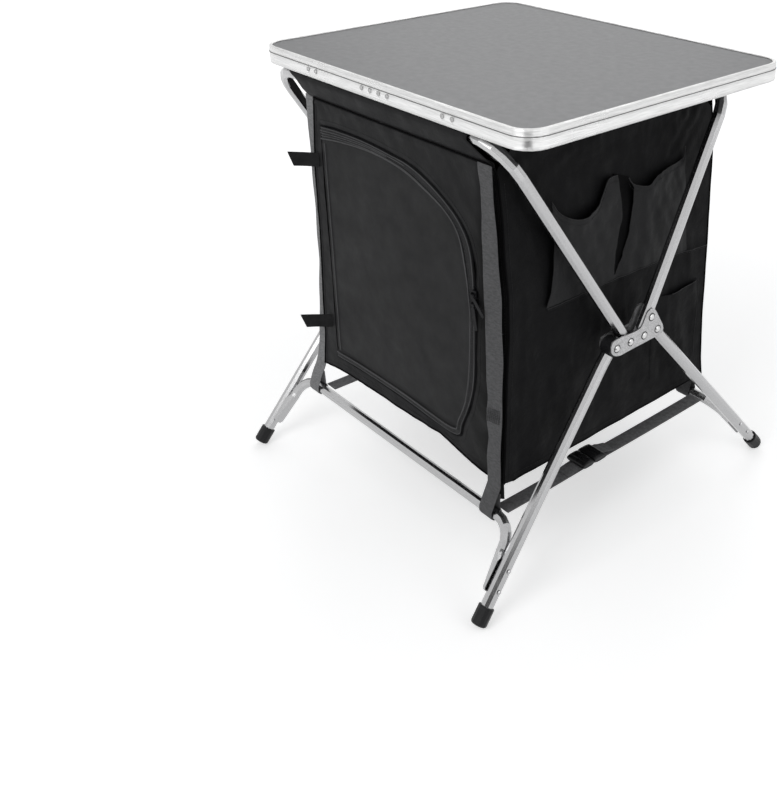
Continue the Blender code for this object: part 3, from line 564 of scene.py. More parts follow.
def fillSheet(outline, holes, step):
    # even triangles that fill an outline in two dimensions
    edges, points = [], []
    for loop in [outline] + list(holes):
        loop = evenLine(list(loop) + [loop[0]], step)[:-1]
        first = len(points)
        points += [Vector((p[0], p[1])) for p in loop]
        edges += [(first + i, first + (i + 1) % len(loop)) for i in range(len(loop))]
    low = [min(p[i] for p in points) for i in (0, 1)]
    high = [max(p[i] for p in points) for i in (0, 1)]
    tall = 0.866        # height of an even triangle with sides of 1
    rows = int((high[1] - low[1]) / (step * tall)) + 1
    columns = int((high[0] - low[0]) / step) + 2
    rims = {}
    for p in points:
        rims.setdefault((int(p[0] / step), int(p[1] / step)), []).append(p)
    for r in range(rows):
        for c in range(columns):
            x = low[0] + (c + 0.5 * (r % 2)) * step
            z = low[1] + (r + 0.5) * step * tall
            if not inside(outline, x, z) or any(inside(h, x, z) for h in holes):
                continue
            near = (p for i in (-1, 0, 1) for j in (-1, 0, 1)
                    for p in rims.get((int(x / step) + i, int(z / step) + j), ()))
            if all((p[0] - x) ** 2 + (p[1] - z) ** 2 >= (0.55 * step) ** 2 for p in near):
                points.append(Vector((x, z)))
    made = delaunay_2d_cdt(points, edges, [], 0, 1e-7)
    verts, kept = made[0], []
    for f in made[2]:
        x, z = (sum(verts[i][axis] for i in f) / len(f) for axis in (0, 1))
        if inside(outline, x, z) and not any(inside(h, x, z) for h in holes):
            kept.append(list(f))
    return verts, kept


def sheetMesh(name, outline, holes, step, where, thickness):
    # a sewn panel: front face, back face and edge, with lengths as its texture coordinates
    flat, tris = fillSheet(outline, holes, step)
    front = [where(p[0], p[1]) for p in flat]
    normals = [Vector((0, 0, 0)) for _ in front]
    for f in tris:
        a, b, c = (front[i] for i in f)
        n = (b - a).cross(c - a)
        for i in f:
            normals[i] += n
    back = [p - n.normalized() * thickness for p, n in zip(front, normals)]
    count = len(front)
    faces = [tuple(f) for f in tris] + [tuple(count + i for i in reversed(f)) for f in tris]
    edges = {(f[i], f[(i + 1) % 3]): True for f in tris for i in range(3)}
    faces += [(b, a, count + a, count + b) for a, b in edges if (b, a) not in edges]
    uv = [(p[0], p[1]) for p in flat] * 2
    return addMesh(name, front + back, faces, uv, 50)


def outward(mesh):
    # all faces turned to the outer side
    bm = bmesh.new()
    bm.from_mesh(mesh)
    bmesh.ops.recalc_face_normals(bm, faces=bm.faces)
    bm.to_mesh(mesh)
    bm.free()
    return mesh


def strapMesh(name, path, widths, normals, thickness, columns=6):
    # woven strap along a path; widths are the vectors across it, normals its outer side
    points, uv = [], []
    ring = [(k / columns - 0.5, 0.5) for k in range(columns + 1)]
    ring += [(k / columns - 0.5, -0.5) for k in range(columns, -1, -1)]
    for p, w, n, length in zip(path, widths, normals, distances(path)):
        for s, t in ring:
            edge = 0.55 if abs(s) > 0.499 else 1.0                      # thin selvedge
            crown = 1.0 + 0.10 * (abs(s) > 0.30) * (abs(s) < 0.49)      # raised beside it
            points.append(p + w * s + n * (thickness * t * edge * crown))
            uv.append((length, s * w.length))
    return outward(addMesh(name, points, ringFaces(len(path), len(ring)), uv, 60))


def straightStrap(name, path, across, normal, thickness, columns=6):
    return strapMesh(name, path, [across] * len(path), [normal] * len(path), thickness, columns)


def tubeMesh(name, path, radius, sides=8):
    # round cord along a path
    points, uv = [], []
    up = Vector((0.13, -0.97, 0.21)).normalized()       # along no cord of the part
    for i, (p, length) in enumerate(zip(path, distances(path))):
        run = runAt(path, i)
        side = run.cross(up).normalized()
        over = side.cross(run).normalized()
        for k in range(sides):
            angle = turn(k, sides)
            points.append(p + side * cos(angle) * radius + over * sin(angle) * radius)
            uv.append((length, radius * angle))
    return outward(addMesh(name, points, ringFaces(len(path), sides), uv, 60))


def joinMeshes(name, meshes):
    bm = bmesh.new()
    for mesh in meshes:
        bm.from_mesh(mesh)
    joined = bpy.data.meshes.new(name)
    bm.to_mesh(joined)
    bm.free()
    joined.shade_smooth()
    return joined


sewing = {"pitch": 0.0042, "length": 0.0029, "radius": 0.00032, "sides": 5,
          # one thread end as (share of its length, share of its radius)
          "shape": [(-0.5, 0.35), (-0.3, 1.0), (0.3, 1.0), (0.5, 0.35)]}


def addStitches(name, lines, out, finish, body, thread=sewing):
    # short thread ends along each line, on the side that out points to
    points, faces, uv = [], [], []
    radius = thread["radius"]
    for line in lines:
        line = evenLine(line, thread["pitch"])
        for a, b in zip(line, line[1:]):
            run = (b - a).normalized()
            side = run.cross(out).normalized()
            faces += ringFaces(len(sewing["shape"]), sewing["sides"], len(points))
            for s, r in sewing["shape"]:
                for k in range(sewing["sides"]):
                    angle = turn(k, sewing["sides"])
                    points.append((a + b) / 2 + run * (s * thread["length"]) + side * cos(angle) * radius * r
                                  + out * sin(angle) * radius * r)
                    uv.append((s * thread["length"], k * 0.0002))
    return addPiece(name, outward(addMesh(name, points, faces, uv)), finish, body)


# shade in the groove round the table's rim
groove = {"height": 0.6906, "corner": 0.0340, "proud": 0.00005, "radius": 0.00062}


def makeGroove():
    low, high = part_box("tabletop_rim")
    r = groove["corner"]
    reach = r + groove["proud"]
    path = []
    corners = ((high[0] - r, high[1] - r), (low[0] + r, high[1] - r),
               (low[0] + r, low[1] + r), (high[0] - r, low[1] + r))
    for quarter, (x, y) in enumerate(corners):
        for i in range(13):
            a = radians(90 * quarter + 90 * i / 12)
            path.append(Vector((x + cos(a) * reach, y + sin(a) * reach, groove["height"])))
    path.append(path[0])
    mesh = tubeMesh("rimGroove", evenLine(path, 0.008), groove["radius"], 6)
    addPiece("rimGroove", mesh, "groove", "tabletop")


makeGroove()
print("rim groove ready")


# heads of the rivets in the joint plates, and dark rings round them as painted shade
rivets = {"face": 0.29005, "pivots": [(-0.0458, 0.3282), (-0.0176, 0.3282), (0.0398, 0.3282)],
          "fixed": [(0.0110, 0.3282), (0.02571, 0.35273)],
          "head": 0.0051, "dome": 0.0024, "rim": 0.0058, "shadeRingWidth": 0.0006}


def makeRivetHeads():
    rims, heads = [], []
    rings, sides = 6, 18
    for side in (1, -1):
        face = place["frame"] + side * rivets["face"]

        def around(y, z, angle, radius, out=0.0):
            return Vector((face + side * out, y + cos(angle) * radius, z + sin(angle) * radius))

        # painted shade: a dark ring round each rivet, of radius rivets rim
        for y, z in rivets["pivots"] + rivets["fixed"]:
            circle = [around(y, z, turn(i, 24), rivets["rim"]) for i in range(25)]
            rims.append(tubeMesh("rim", circle, rivets["shadeRingWidth"], 6))
        for y, z in rivets["fixed"]:
            points = []
            for k in range(rings):
                up = radians(84 * k / (rings - 1))
                points += [around(y, z, turn(i, sides), rivets["head"] * cos(up), rivets["dome"] * sin(up))
                           for i in range(sides)]
            heads.append(outward(addMesh("head", points, ringFaces(rings, sides))))
    addPiece("rivetShadeRings", rims, "fitting", "rear_tube")
    addPiece("fixedRivetHeads", heads, "rivetHead", "rear_tube")


makeRivetHeads()
print("rivet heads ready")


# the side walls' lines as (height, place), and how far the front corner lies back
sideWalls = {
    "right": [(0.155, 0.2597), (0.330, 0.2570), (0.460, 0.2550), (0.600, 0.2495), (0.655, 0.2470)],
    "left": [(0.166, -0.1863), (0.330, -0.1765), (0.460, -0.1700), (0.600, -0.1640), (0.655, -0.1610)],
    "cornerBack": [(0.166, 0.0025), (0.177, 0.0028), (0.240, 0.0070), (0.340, 0.0131), (0.396, 0.0180),
                   (0.453, 0.0180), (0.510, 0.0142), (0.5635, 0.0130), (0.6164, 0.0093), (0.640, 0.0020),
                   (0.660, 0.0)],
    "rearOut": [(0.155, 0.0060), (0.190, 0.0020), (0.264, 0.0), (0.370, 0.0030), (0.440, 0.0040),
                (0.510, 0.0070), (0.560, 0.0085), (0.640, 0.0020)],
    "taper": 0.0220,         # the right wall comes in towards the rear
    "step": 0.0060,
}


def taper(y):
    return sideWalls["taper"] * (y - place["front"]) / (place["rear"] - place["front"])


# front wall
frontWall = {
    "outline": [(-0.1560, 0.6405), (0.2430, 0.6398), (0.2482, 0.6320), (0.2507, 0.5700), (0.2533, 0.5000),
                (0.2550, 0.4600), (0.2556, 0.4200), (0.2559, 0.3976), (0.2575, 0.3000), (0.2592, 0.1941),
                (0.2592, 0.1765), (0.2243, 0.1744), (0.1759, 0.1821), (0.1207, 0.1917), (0.0209, 0.1882),
                (-0.1101, 0.1857), (-0.1451, 0.1823), (-0.1876, 0.1770), (-0.1790, 0.2400), (-0.1729, 0.3711),
                (-0.1695, 0.4369), (-0.1685, 0.5207), (-0.1615, 0.6000)],
    "step": 0.0055,
}
zipRun = [(-0.1443, 0.5958), (-0.1012, 0.5995), (-0.0325, 0.6006), (0.0285, 0.5972), (0.0718, 0.5935),
          (0.1137, 0.5814), (0.1535, 0.5626), (0.1840, 0.5399), (0.2036, 0.5067), (0.2095, 0.4500),
          (0.2083, 0.3789), (0.2025, 0.3006), (0.1767, 0.2345), (0.1549, 0.2060), (0.0329, 0.2097),
          (-0.0764, 0.2087), (-0.1443, 0.2054)]
ribRun = [(-0.1430, 0.5762), (-0.0900, 0.5835), (-0.0146, 0.5881), (0.0567, 0.5828), (0.1123, 0.5667),
          (0.1526, 0.5498), (0.1781, 0.5272), (0.1899, 0.4932), (0.1990, 0.4400), (0.2006, 0.3923),
          (0.1910, 0.2950), (0.1681, 0.2374), (0.1500, 0.2172), (0.0329, 0.2205), (-0.0764, 0.2195),
          (-0.1430, 0.2165)]
zipLine = evenLine(smoothLine(zipRun), zipStep)
ribLine = evenLine(smoothLine(ribRun), zipStep)
hinge = -0.1455
doorHole = [(hinge, zipLine[0].y)] + [(p.x, p.y) for p in zipLine] + [(hinge, zipLine[-1].y)]


def wrinkle(x, z, seed, scale, octaves=3):
    return noise.fractal(Vector((x / scale[0], z / scale[1], seed)), 0.8, 2.0, octaves)


def frontRelief(x, z):
    # how far the wall stands out of its plane
    edge = valueAt(sideWalls["right"], z)
    calm = 1 - 0.92 * soft(x, edge - 0.025, edge)
    out = calm * 0.0012 * wrinkle(x, z, 3.1, (0.09, 0.16))
    out += calm * 0.0010 * wrinkle(x + z * 0.8, z, 7.7, (0.035, 0.14))
    # drawn in at the sleeve's seam, with a roll under it
    seam = place["seam"] + 0.0006
    out += 0.0014 * bell(z - seam + 0.0055, 0.0028) - 0.0030 * bell(z - seam, 0.0020)
    d = nearLine(zipLine, x, z)
    out += 0.0004 * bell(d - 0.0100, 0.0030) - 0.0014 * bell(d, 0.0030)
    # slack at the lower right corner
    out += calm * 0.0024 * soft(x, 0.19, 0.25) * soft(0.36 - z, 0.0, 0.16) * sin((x * 0.6 + z) * 95)
    out -= valueAt(sideWalls["cornerBack"], z) * soft(x, edge - 0.036, edge)
    # pressed in where the upper slider runs
    return out - 0.0016 * exp(-(((x - 0.2105) / 0.009) ** 2 + ((z - 0.490) / 0.016) ** 2))


def frontPoint(x, z, lift=0.0):
    return Vector((x + place["frame"], place["front"] - place["sheet"] - frontRelief(x, z) - lift, z))


sleeves = {
    "rail": 0.6631, "bend": 0.055, "start": -0.2080, "end": 0.2120, "down": (0, 0.540, -0.8417),
    "round": 0.0115, "slant": 0.036,
    # how far round the tube the cloth reaches, in degrees, towards the left bend: on its outer and its inner side
    "outer": [(-0.232, 6), (-0.218, 20), (-0.202, 68), (-0.190, 90), (-0.178, 112), (-0.165, 118)],
    "inner": [(-0.232, 30), (-0.205, 78), (-0.190, 100), (-0.178, 118), (-0.165, 118)],
}


def sleevePath(reach):
    # rail axis from the right end of the sleeve, round the left bend by some degrees
    rail, bend, start, end = (sleeves[k] for k in ("rail", "bend", "start", "end"))
    path = [Vector((end - i * (end - start) / 60, place["front"], rail)) for i in range(61)]
    down = Vector(sleeves["down"])
    centre = Vector((start, place["front"], rail)) + down * bend
    for i in range(1, 9 if reach else 1):
        angle = radians(reach) * i / 8
        path.append(centre - down * bend * cos(angle) + Vector((-1, 0, 0)) * bend * sin(angle))
    return path


def sleeveMesh(name, path, side, rows=30):
    # cloth round the rail: it follows the tube above and closes to the seam below
    points, uv = [], []
    seamZ = place["seam"] + 0.0005
    for i, (p, length) in enumerate(zip(path, distances(path))):
        run = runAt(path, i)
        up = (Vector((0, 0, 1)) - run * run.z).normalized()
        across = run.cross(up)
        outer, inner = -valueAt(sleeves["outer"], p.x), valueAt(sleeves["inner"], p.x)
        for k in range(rows + 1):
            degrees = outer + (inner - outer) * k / rows
            angle = radians(degrees)
            # creases, and gathers every few centimetres
            pull = 0.0007 * wrinkle(length, angle * 0.02, 5.0 + side, (0.02, 0.02), 2)
            pull += 0.0011 * max(0.0, sin(length * 62)) ** 6 * soft(abs(angle), 1.2, 2.0)
            pull += 0.0007 * max(0.0, sin(length * 97 + 2)) ** 10 * soft(abs(angle), 0.9, 1.8)
            r = sleeves["round"] + 0.0004 + pull
            spot = p + up * cos(angle) * r + across * sin(angle) * r
            # under the tube the two sides come together at the seam
            tip = max(0.0, abs(degrees) - 96) / 22
            if tip > 0:
                spot = spot.lerp(Vector((p.x, p.y + (spot.y - p.y) * 0.12, seamZ)), tip ** 0.9)
            if side > 0 and degrees < 0:
                drop = min(1.0, max(0.0, (p.z - spot.z) / (p.z - seamZ)))
                spot.x += sleeves["slant"] * soft(p.x, 0.12, sleeves["end"]) * drop
            points.append(spot + Vector((place["frame"], 0, 0)))
            uv.append((length, angle * sleeves["round"]))
    return outward(addMesh(name, points, gridFaces(len(path), rows + 1), uv))


def thicken(mesh, depth):
    # gives an open sheet its thickness, inwards
    item = addObject("thick", mesh)
    solid = item.modifiers.new("thick", "SOLIDIFY")
    solid.thickness = depth
    solid.offset = -1
    graph = bpy.context.evaluated_depsgraph_get()
    graph.update()
    thick = bpy.data.meshes.new_from_object(item.evaluated_get(graph))
    thick.name = mesh.name
    bpy.data.objects.remove(item, do_unlink=True)
    return thick


facing = {"outline": [(-0.2455, 0.6655), (-0.2470, 0.6560), (-0.2240, 0.6300), (-0.1944, 0.6159), (-0.1856, 0.6106),
                      (-0.1898, 0.6258), (-0.2050, 0.6390), (-0.2236, 0.6509), (-0.2330, 0.6600)],
          "back": -0.2290}


def makeFrontWall():
    wall = sheetMesh("frontWall", frontWall["outline"], [doorHole], frontWall["step"], frontPoint, place["thick"])
    sleeve = thicken(sleeveMesh("frontSleeve", sleevePath(17), 1), 0.0007)
    piece = addPiece("frontWallCloth", [wall, sleeve], "front", "front_wall", ["front_panel"])
    # dark facing inside the left bend
    mesh = sheetMesh("cornerFacing", facing["outline"], [], 0.005,
                     lambda x, z: Vector((x + place["frame"], facing["back"], z)), 0.0009)
    piece = addPiece("cornerFacing", mesh, "dark", "front_wall")


def makeFrontTrim():
    # bindings along the wall's free edges, a dark cord under the sleeve's seam as painted shade in its crease, and
    # the sewing lines
    edge = frontWall["outline"]
    right = evenLine(smoothLine(edge[2:11]), trimStep)
    left = evenLine([edge[0]] + edge[:16:-1], trimStep)
    bottom = evenLine(edge[10:18], trimStep)
    # painted shade: a dark cord in the crease under the sleeve's seam
    seam = [Vector((-0.156 + i * 0.008 + place["frame"], place["front"] - 0.0022, place["seam"] - 0.0006))
            for i in range(51)]
    cords = [tubeMesh("cornerPiping", laid(frontPoint, right, -0.0006, 0, 0.0004), 0.0017),
             tubeMesh("leftBinding", laid(frontPoint, left, 0.0008), 0.0014),
             tubeMesh("bottomBinding", laid(frontPoint, bottom, 0, 0.0008), 0.0014),
             tubeMesh("paintedSeamShade", seam, 0.0013, 6)]
    addPiece("frontBindingAndSeamShade", cords, "dark", "front_wall")
    sewn = [(-0.150 + i * 0.01, place["seam"] + 0.0042) for i in range(39)]
    lines = [laid(frontPoint, line, dx, dz, 0.0002) for line, dx, dz in (
        (evenLine(offsetOut(zipLine, 0.0092), zipStep), 0, 0), (left, 0.0070, 0), (bottom, 0, 0.0085),
        (right, -0.0065, 0), (sewn, 0, 0))]
    addStitches("frontStitches", lines, Vector((0, -1, 0)), "thread", "front_wall")


makeFrontWall()
makeFrontTrim()
print("front wall ready")


# door and zip
door = {"step": 0.0055, "crown": 0.0035, "tape": 0.0009, "tapeWide": 0.012, "edge": 0.0008, "pitch": 0.0021,
        "tooth": (0.0016, 0.0024, 0.0011)}
doorEdge = offsetOut(zipLine, -door["edge"])
hingeX = hinge + door["edge"]
doorOutline = [(hingeX, doorEdge[0].y)] + [(p.x, p.y) for p in doorEdge] + [(hingeX, doorEdge[-1].y)]


def doorRelief(x, z):
    out = door["crown"] * sin(pi * soft(x, -0.15, 0.21)) * sin(pi * soft(z, 0.21, 0.60))
    out += 0.0006 * wrinkle(x, z, 12.4, (0.11, 0.17), 2)
    d, e = nearLine(ribLine, x, z), nearLine(zipLine, x, z)
    out += 0.0012 * bell(d, 0.0024) - 0.0010 * bell(d - 0.0042, 0.0022) * soft(e, 0.010, 0.014)
    out -= 0.0012 * bell(e, 0.0030)
    return out - 0.0010 * soft(hinge + 0.012 - x, 0.0, 0.010)


def doorPoint(x, z, lift=0.0):
    return Vector((x + place["frame"], place["front"] - place["sheet"] - doorRelief(x, z) - lift, z))


def makeDoor():
    sheet = sheetMesh("doorCloth", doorOutline, [], door["step"], doorPoint, place["thick"])
    cloth = addPiece("doorCloth", sheet, "door", "door", ["door_flap"])
    # the tape lies between the door's edge and the rib inside it
    count, across = 340, 6
    outer, inner = (evenLine(line, zipStep) for line in (offsetOut(zipLine, -0.0016), ribLine))
    outer, inner = (evenLine(line, distances(line)[-1] / count) for line in (outer, inner))
    points, uv = [], []
    for i, (a, b) in enumerate(zip(outer, inner)):
        for k in range(across + 1):
            t = k / across
            p = a.lerp(b, t)
            points.append(doorPoint(p[0], p[1], door["tape"] * (0.6 + 0.6 * sin(pi * t))))
            uv.append((i * 0.004, t * door["tapeWide"]))
    tape = thicken(outward(addMesh("doorTape", points, gridFaces(len(outer), across + 1), uv)), 0.0008)
    strip = addPiece("doorTape", tape, "tape", "door")
    ribs = [tubeMesh("innerRib", laid(doorPoint, ribLine, lift=0.0008), 0.0012),
            tubeMesh("outerRib", laid(doorPoint, offsetOut(zipLine, -0.0030), lift=0.0010), 0.0008)]
    # more ribs that run out from the hinge side and close up along the curve
    for share, last in ((0.30, 74), (0.52, 60), (0.76, 210)):
        run = [a.lerp(b, min(1.0, share + 0.0012 * i)) for i, (a, b) in enumerate(zip(outer[:last], inner))]
        ribs.append(tubeMesh("topRib", laid(doorPoint, run, lift=0.0019), 0.0008, 6))
    hem = [(hinge + 0.0105, 0.222 + i * 0.006) for i in range(59)]
    ribs.append(tubeMesh("hingeHem", laid(doorPoint, hem, lift=0.0002), 0.0010))
    addPiece("doorPiping", ribs, "piping", "door")
    rows = [[a.lerp(b, gap / door["tapeWide"]) for a, b in zip(outer, inner)] for gap in (0.0045, 0.0075)]
    lines = [laid(doorPoint, row, lift=0.0021) for row in rows] + [laid(doorPoint, hem, 0.0035, 0, 0.0003)]
    addStitches("doorStitches", lines, Vector((0, -1, 0)), "greyThread", "door")


def makeZipTeeth():
    # two rows of coil ends that meet along the door's edge
    long, wide, high = door["tooth"]
    sides = ((0, 1, 3, 2), (4, 6, 7, 5), (0, 4, 5, 1), (2, 3, 7, 6), (1, 5, 7, 3), (0, 2, 6, 4))
    for name, gap, point, body in (("wall", 0.0002 + 0.0006, frontPoint, "front_wall"),
                                   ("door", -0.0014, doorPoint, "door")):
        line = evenLine(offsetOut(zipLine, gap), door["pitch"])
        points, faces = [], []
        for before, p, after in zip(line, line[1:], line[2:]):
            run = (after - before).normalized()
            out = Vector((-run.y, run.x))
            base = point(p[0], p[1], 0.0)
            faces += [tuple(len(points) + corner for corner in side) for side in sides]
            for sx in (-0.5, 0.5):
                for sy in (-0.5, 0.5):
                    for up in (0.0, 1.0):
                        narrow = 1.0 - 0.35 * up
                        d = run * (long * 0.62 * sx * narrow) + out * (wide * 0.6 * sy * narrow)
                        points.append(base + Vector((d.x, -high * up, d.y)))
        mesh = outward(addMesh(name + "Teeth", points, faces, [(0.0, 0.0)] * len(points), 30))
        addPiece(name + "ZipTeeth", mesh, "zip", body)


makeDoor()
makeZipTeeth()
print("door and zip ready")


# side walls and pockets
def rightRelief(y, z):
    # folds of the right wall, outwards
    out = 0.0022 * wrinkle(y + 0.25 * z, z, 21.5, (0.05, 0.17))
    out += 0.0011 * wrinkle(y, z, 4.4, (0.022, 0.07))
    out += 0.0020 * soft(z, 0.50, 0.66) * wrinkle(y * 0.5, z + abs(y) * 0.35, 9.2, (0.05, 0.02))
    # tension lines that run from the upper corners towards the middle
    for corner, lean in ((-0.225, 0.9), (0.20, -0.9)):
        u = (y - corner) * lean + (0.64 - z)
        v = (y - corner) - (0.64 - z) * lean
        out += 0.0016 * cos(v * 210) * bell(v, 0.05) * exp(-max(0.0, u) / 0.12) * (u > -0.02)
    # slow waves near the foot
    return out + 0.0014 * soft(0.30 - z, 0.0, 0.12) * cos(y * 75 + z * 30)


def rightPoint(y, z, lift=0.0):
    # the folds die out at the corners and at the foot
    near = 1 - soft(y - place["front"], 0.0, 0.045)
    rearNear = soft(y, 0.165, place["rear"])
    calm = (1 - 0.88 * max(near, rearNear)) * (0.15 + 0.85 * soft(z, 0.155, 0.215))
    x = valueAt(sideWalls["right"], z) - taper(y) + rightRelief(y, z) * calm
    back = valueAt(sideWalls["cornerBack"], z) * (1 - soft(y - place["front"], 0.0, 0.050))
    out = valueAt(sideWalls["rearOut"], z) * soft(y, 0.150, place["rear"])
    return Vector((x + lift + place["frame"], y + back + out, z))


def leftPoint(y, z):
    x = valueAt(sideWalls["left"], z) - 0.0018 * wrinkle(y, z, 31.5, (0.06, 0.16))
    return Vector((x + place["frame"], y, z))


def makeSideWalls():
    front, rear = place["front"], place["rear"]
    outline = [(front + 0.015, 0.1738), (front, 0.1768), (front, 0.200), (front, 0.400), (front, 0.6279),
               (front + 0.030, 0.650), (front + 0.060, 0.6560), (rear - 0.060, 0.6560), (rear - 0.022, 0.640),
               (rear, 0.615), (rear, 0.400), (rear, 0.200), (rear, 0.1575), (0.1511, 0.1592), (0.0, 0.1657),
               (-0.0946, 0.1697), (-0.1438, 0.1706)]
    inner = [(y * 0.985 - 0.001, max(z, 0.172)) for y, z in outline]
    pieces = []
    for side, shape, step, point, flat, area in (
            ("right", outline, 0.0052, rightPoint, (0.445, 0.490), 0.212),
            ("left", inner, sideWalls["step"], leftPoint, (0.440, 0.485), 0.208)):
        mesh = sheetMesh(side + "WallCloth", shape, [], step, point, place["thick"])
        # the side walls take the black cloth darkened as painted shade
        piece = addPiece(side + "WallCloth", mesh, "side", "cabinet", ["side_panel_" + side])
        pieces.append(piece)
    hem = evenLine([(rear - 0.001, 0.1580), (0.1511, 0.1596), (0.0, 0.1661), (-0.0946, 0.1701),
                    (-0.1438, 0.1710), (front + 0.015, 0.1742)], trimStep)
    cords = [tubeMesh("sideHem", laid(rightPoint, hem, lift=-0.0002), 0.0012)]
    pieces.append(addPiece("sideBinding", cords, "dark", "cabinet"))
    upright = [(front + 0.0075, 0.180 + i * 0.01) for i in range(44)]
    lines = [laid(rightPoint, hem, 0, 0.0085, 0.0003), laid(rightPoint, upright, lift=0.0003)]
    pieces.append(addStitches("sideStitches", lines, Vector((1, 0, 0)), "thread", "cabinet"))
    for piece in pieces:
        foldBack(piece)


pockets = {
    "seam": [(-0.232, 0.4185), (-0.1164, 0.4170), (-0.0802, 0.4143), (-0.0468, 0.4130), (-0.0037, 0.4117),
             (0.0691, 0.4090), (0.1419, 0.4044), (0.2100, 0.3950)],
    "leftMouth": [(-0.1432, 0.5671), (-0.1324, 0.5517), (-0.1175, 0.5391), (-0.0983, 0.5300), (-0.0825, 0.5272),
                  (-0.0665, 0.5296), (-0.0502, 0.5349), (-0.0401, 0.5464), (-0.0340, 0.5590), (-0.0258, 0.5668),
                  (-0.0070, 0.5667)],
    "rightMouth": [(0.0167, 0.5569), (0.0215, 0.5490), (0.0302, 0.5430), (0.0527, 0.5368), (0.0660, 0.5422),
                   (0.0841, 0.5474), (0.1119, 0.5498), (0.1357, 0.5514), (0.1449, 0.5567), (0.1463, 0.5718)],
    "wedgeLeft": [(-0.0070, 0.5667), (0.0001, 0.5292), (0.0028, 0.5047), (-0.0052, 0.4712), (-0.0093, 0.4453),
                  (-0.0090, 0.4150)],
    "wedgeRight": [(0.0167, 0.5569), (0.0268, 0.5400), (0.0266, 0.5157), (0.0189, 0.4757), (0.0061, 0.4402),
                   (-0.0071, 0.4150)],
    "pleat": [(-0.1505, 0.4160), (-0.1440, 0.4393), (-0.1408, 0.4670), (-0.1392, 0.5117), (-0.1432, 0.5671)],
    "lowFold": [(0.0800, 0.2060), (0.0800, 0.3540), (0.1000, 0.3430), (0.1267, 0.3375), (0.1619, 0.3384),
                (0.1930, 0.3405), (0.1936, 0.2899), (0.1885, 0.2060)],
    "step": 0.0046,
}
leftMouth, rightMouth = ([tuple(p) for p in smoothLine(pockets[side], 4)] for side in ("leftMouth", "rightMouth"))
mouthTops = leftMouth + rightMouth


def pocketLift(y, z):
    # the upper pockets stand away from the wall towards their mouths
    seam = valueAt(pockets["seam"], y)
    up = soft(z, seam, seam + 0.13)
    mouth = valueAt(mouthTops, y)
    if y < 0.008:
        full = sin(pi * soft(y, -0.200, 0.030)) ** 0.7 * 0.0062
        full += 0.0040 * bell(y + 0.0825, 0.035) * soft(z, mouth - 0.06, mouth)
    else:
        full = sin(pi * soft(y, -0.010, 0.165)) ** 0.7 * 0.0056
        full += 0.0034 * bell(y - 0.055, 0.035) * soft(z, mouth - 0.05, mouth)
    out = 0.0020 + full * up
    # the left edge stands up sharply where it was sewn in a pleat
    pleat = valueAt([(z0, y0) for y0, z0 in pockets["pleat"]], z)
    out += 0.0046 * bell(y - pleat, 0.011) * soft(z, 0.405, 0.450)
    # soft folds that run down towards the seam
    out += 0.0014 * wrinkle(y * 1.3 + 0.6 * z, z * 0.4, 41.0, (0.022, 0.05))
    out += 0.0008 * sin((y * 1.2 - z) * 120) * up * bell(y + 0.06, 0.06)
    return max(out, 0.0008)


def pocketPoint(y, z, lift=0.0):
    return rightPoint(y, z, pocketLift(y, z) + 0.0012 + lift)


def lowPoint(y, z, lift=0.0):
    full = soft(y, 0.080, 0.140)
    lift += 0.0004 + full * (0.0016 + 0.0052 * soft(z, 0.22, 0.34) * sin(pi * soft(y, 0.03, 0.215)))
    return rightPoint(y, z, lift + full * 0.0009 * abs(wrinkle(y, z, 52.0, (0.04, 0.05))))


def makePockets():
    seam = pockets["seam"]
    outline = pockets["pleat"][:-1] + leftMouth + pockets["wedgeLeft"][1:]
    outline += pockets["wedgeRight"][::-1][:-1] + rightMouth
    outline += [(0.1500, 0.5200), (0.1560, 0.4600), (0.1600, valueAt(seam, 0.160) - 0.002)]
    outline += [(y, z - 0.002) for y, z in reversed(seam) if -0.14 < y < 0.15]
    # painted shade: a dark sheet inside the V between the pockets, where the pleat lies in shade
    pleatShadeOutline = [(y - 0.004, z + 0.002) for y, z in pockets["wedgeLeft"]]
    pleatShadeOutline += [(y + 0.004, z) for y, z in pockets["wedgeRight"][::-1]]
    sheets = [
        # the upper pockets take the black cloth lightened as painted light
        ("pocketClothPaintedLight", outline, pockets["step"], pocketPoint, 0.0010, "pocket", (0.310, 0.170), 0.042),
        # the low pocket takes the side walls' cloth, darkened as painted shade
        ("lowPocket", pockets["lowFold"], 0.005, lowPoint, 0.0004, "side", (0.114, 0.148), 0.0155),
        ("paintedPleatShade", pleatShadeOutline, 0.005, lambda y, z: rightPoint(y, z, 0.0013), 0.0008, "dark", (0.038, 0.155), 0.0036),
    ]
    pieces = []
    for name, shape, step, point, thick, finish, flat, area in sheets:
        replaced = ["side_pockets"] if name == "pocketClothPaintedLight" else []
        mesh = sheetMesh(name, shape, [], step, point, thick)
        pieces.append(addPiece(name, mesh, finish, "cabinet", replaced))
    mouths = [evenLine(mouth, zipStep) for mouth in (leftMouth, rightMouth)]
    run = evenLine([(-0.148, 0.4168)] + seam[2:], trimStep)
    fold = evenLine(pockets["lowFold"][3:], trimStep)
    cords = [tubeMesh("mouthHem", laid(pocketPoint, mouth, 0, -0.0004), 0.0008) for mouth in mouths]
    cords.append(tubeMesh("pocketSeam", laid(rightPoint, run, 0, -0.0030, 0.0034), 0.0006, 6))
    cords.append(tubeMesh("lowMouth", laid(lowPoint, fold), 0.0007, 6))
    pieces.append(addPiece("pocketHems", cords, "tape", "cabinet"))
    lines = [laid(pocketPoint, mouth, 0, -0.0085, 0.0003) for mouth in mouths]
    lines.append(laid(rightPoint, run, 0, -0.006, 0.0030))
    pieces.append(addStitches("pocketStitches", lines, Vector((1, 0, 0)), "thread", "cabinet"))
    for piece in pieces:
        foldBack(piece)


makeSideWalls()
makePockets()
print("side walls and pockets ready")


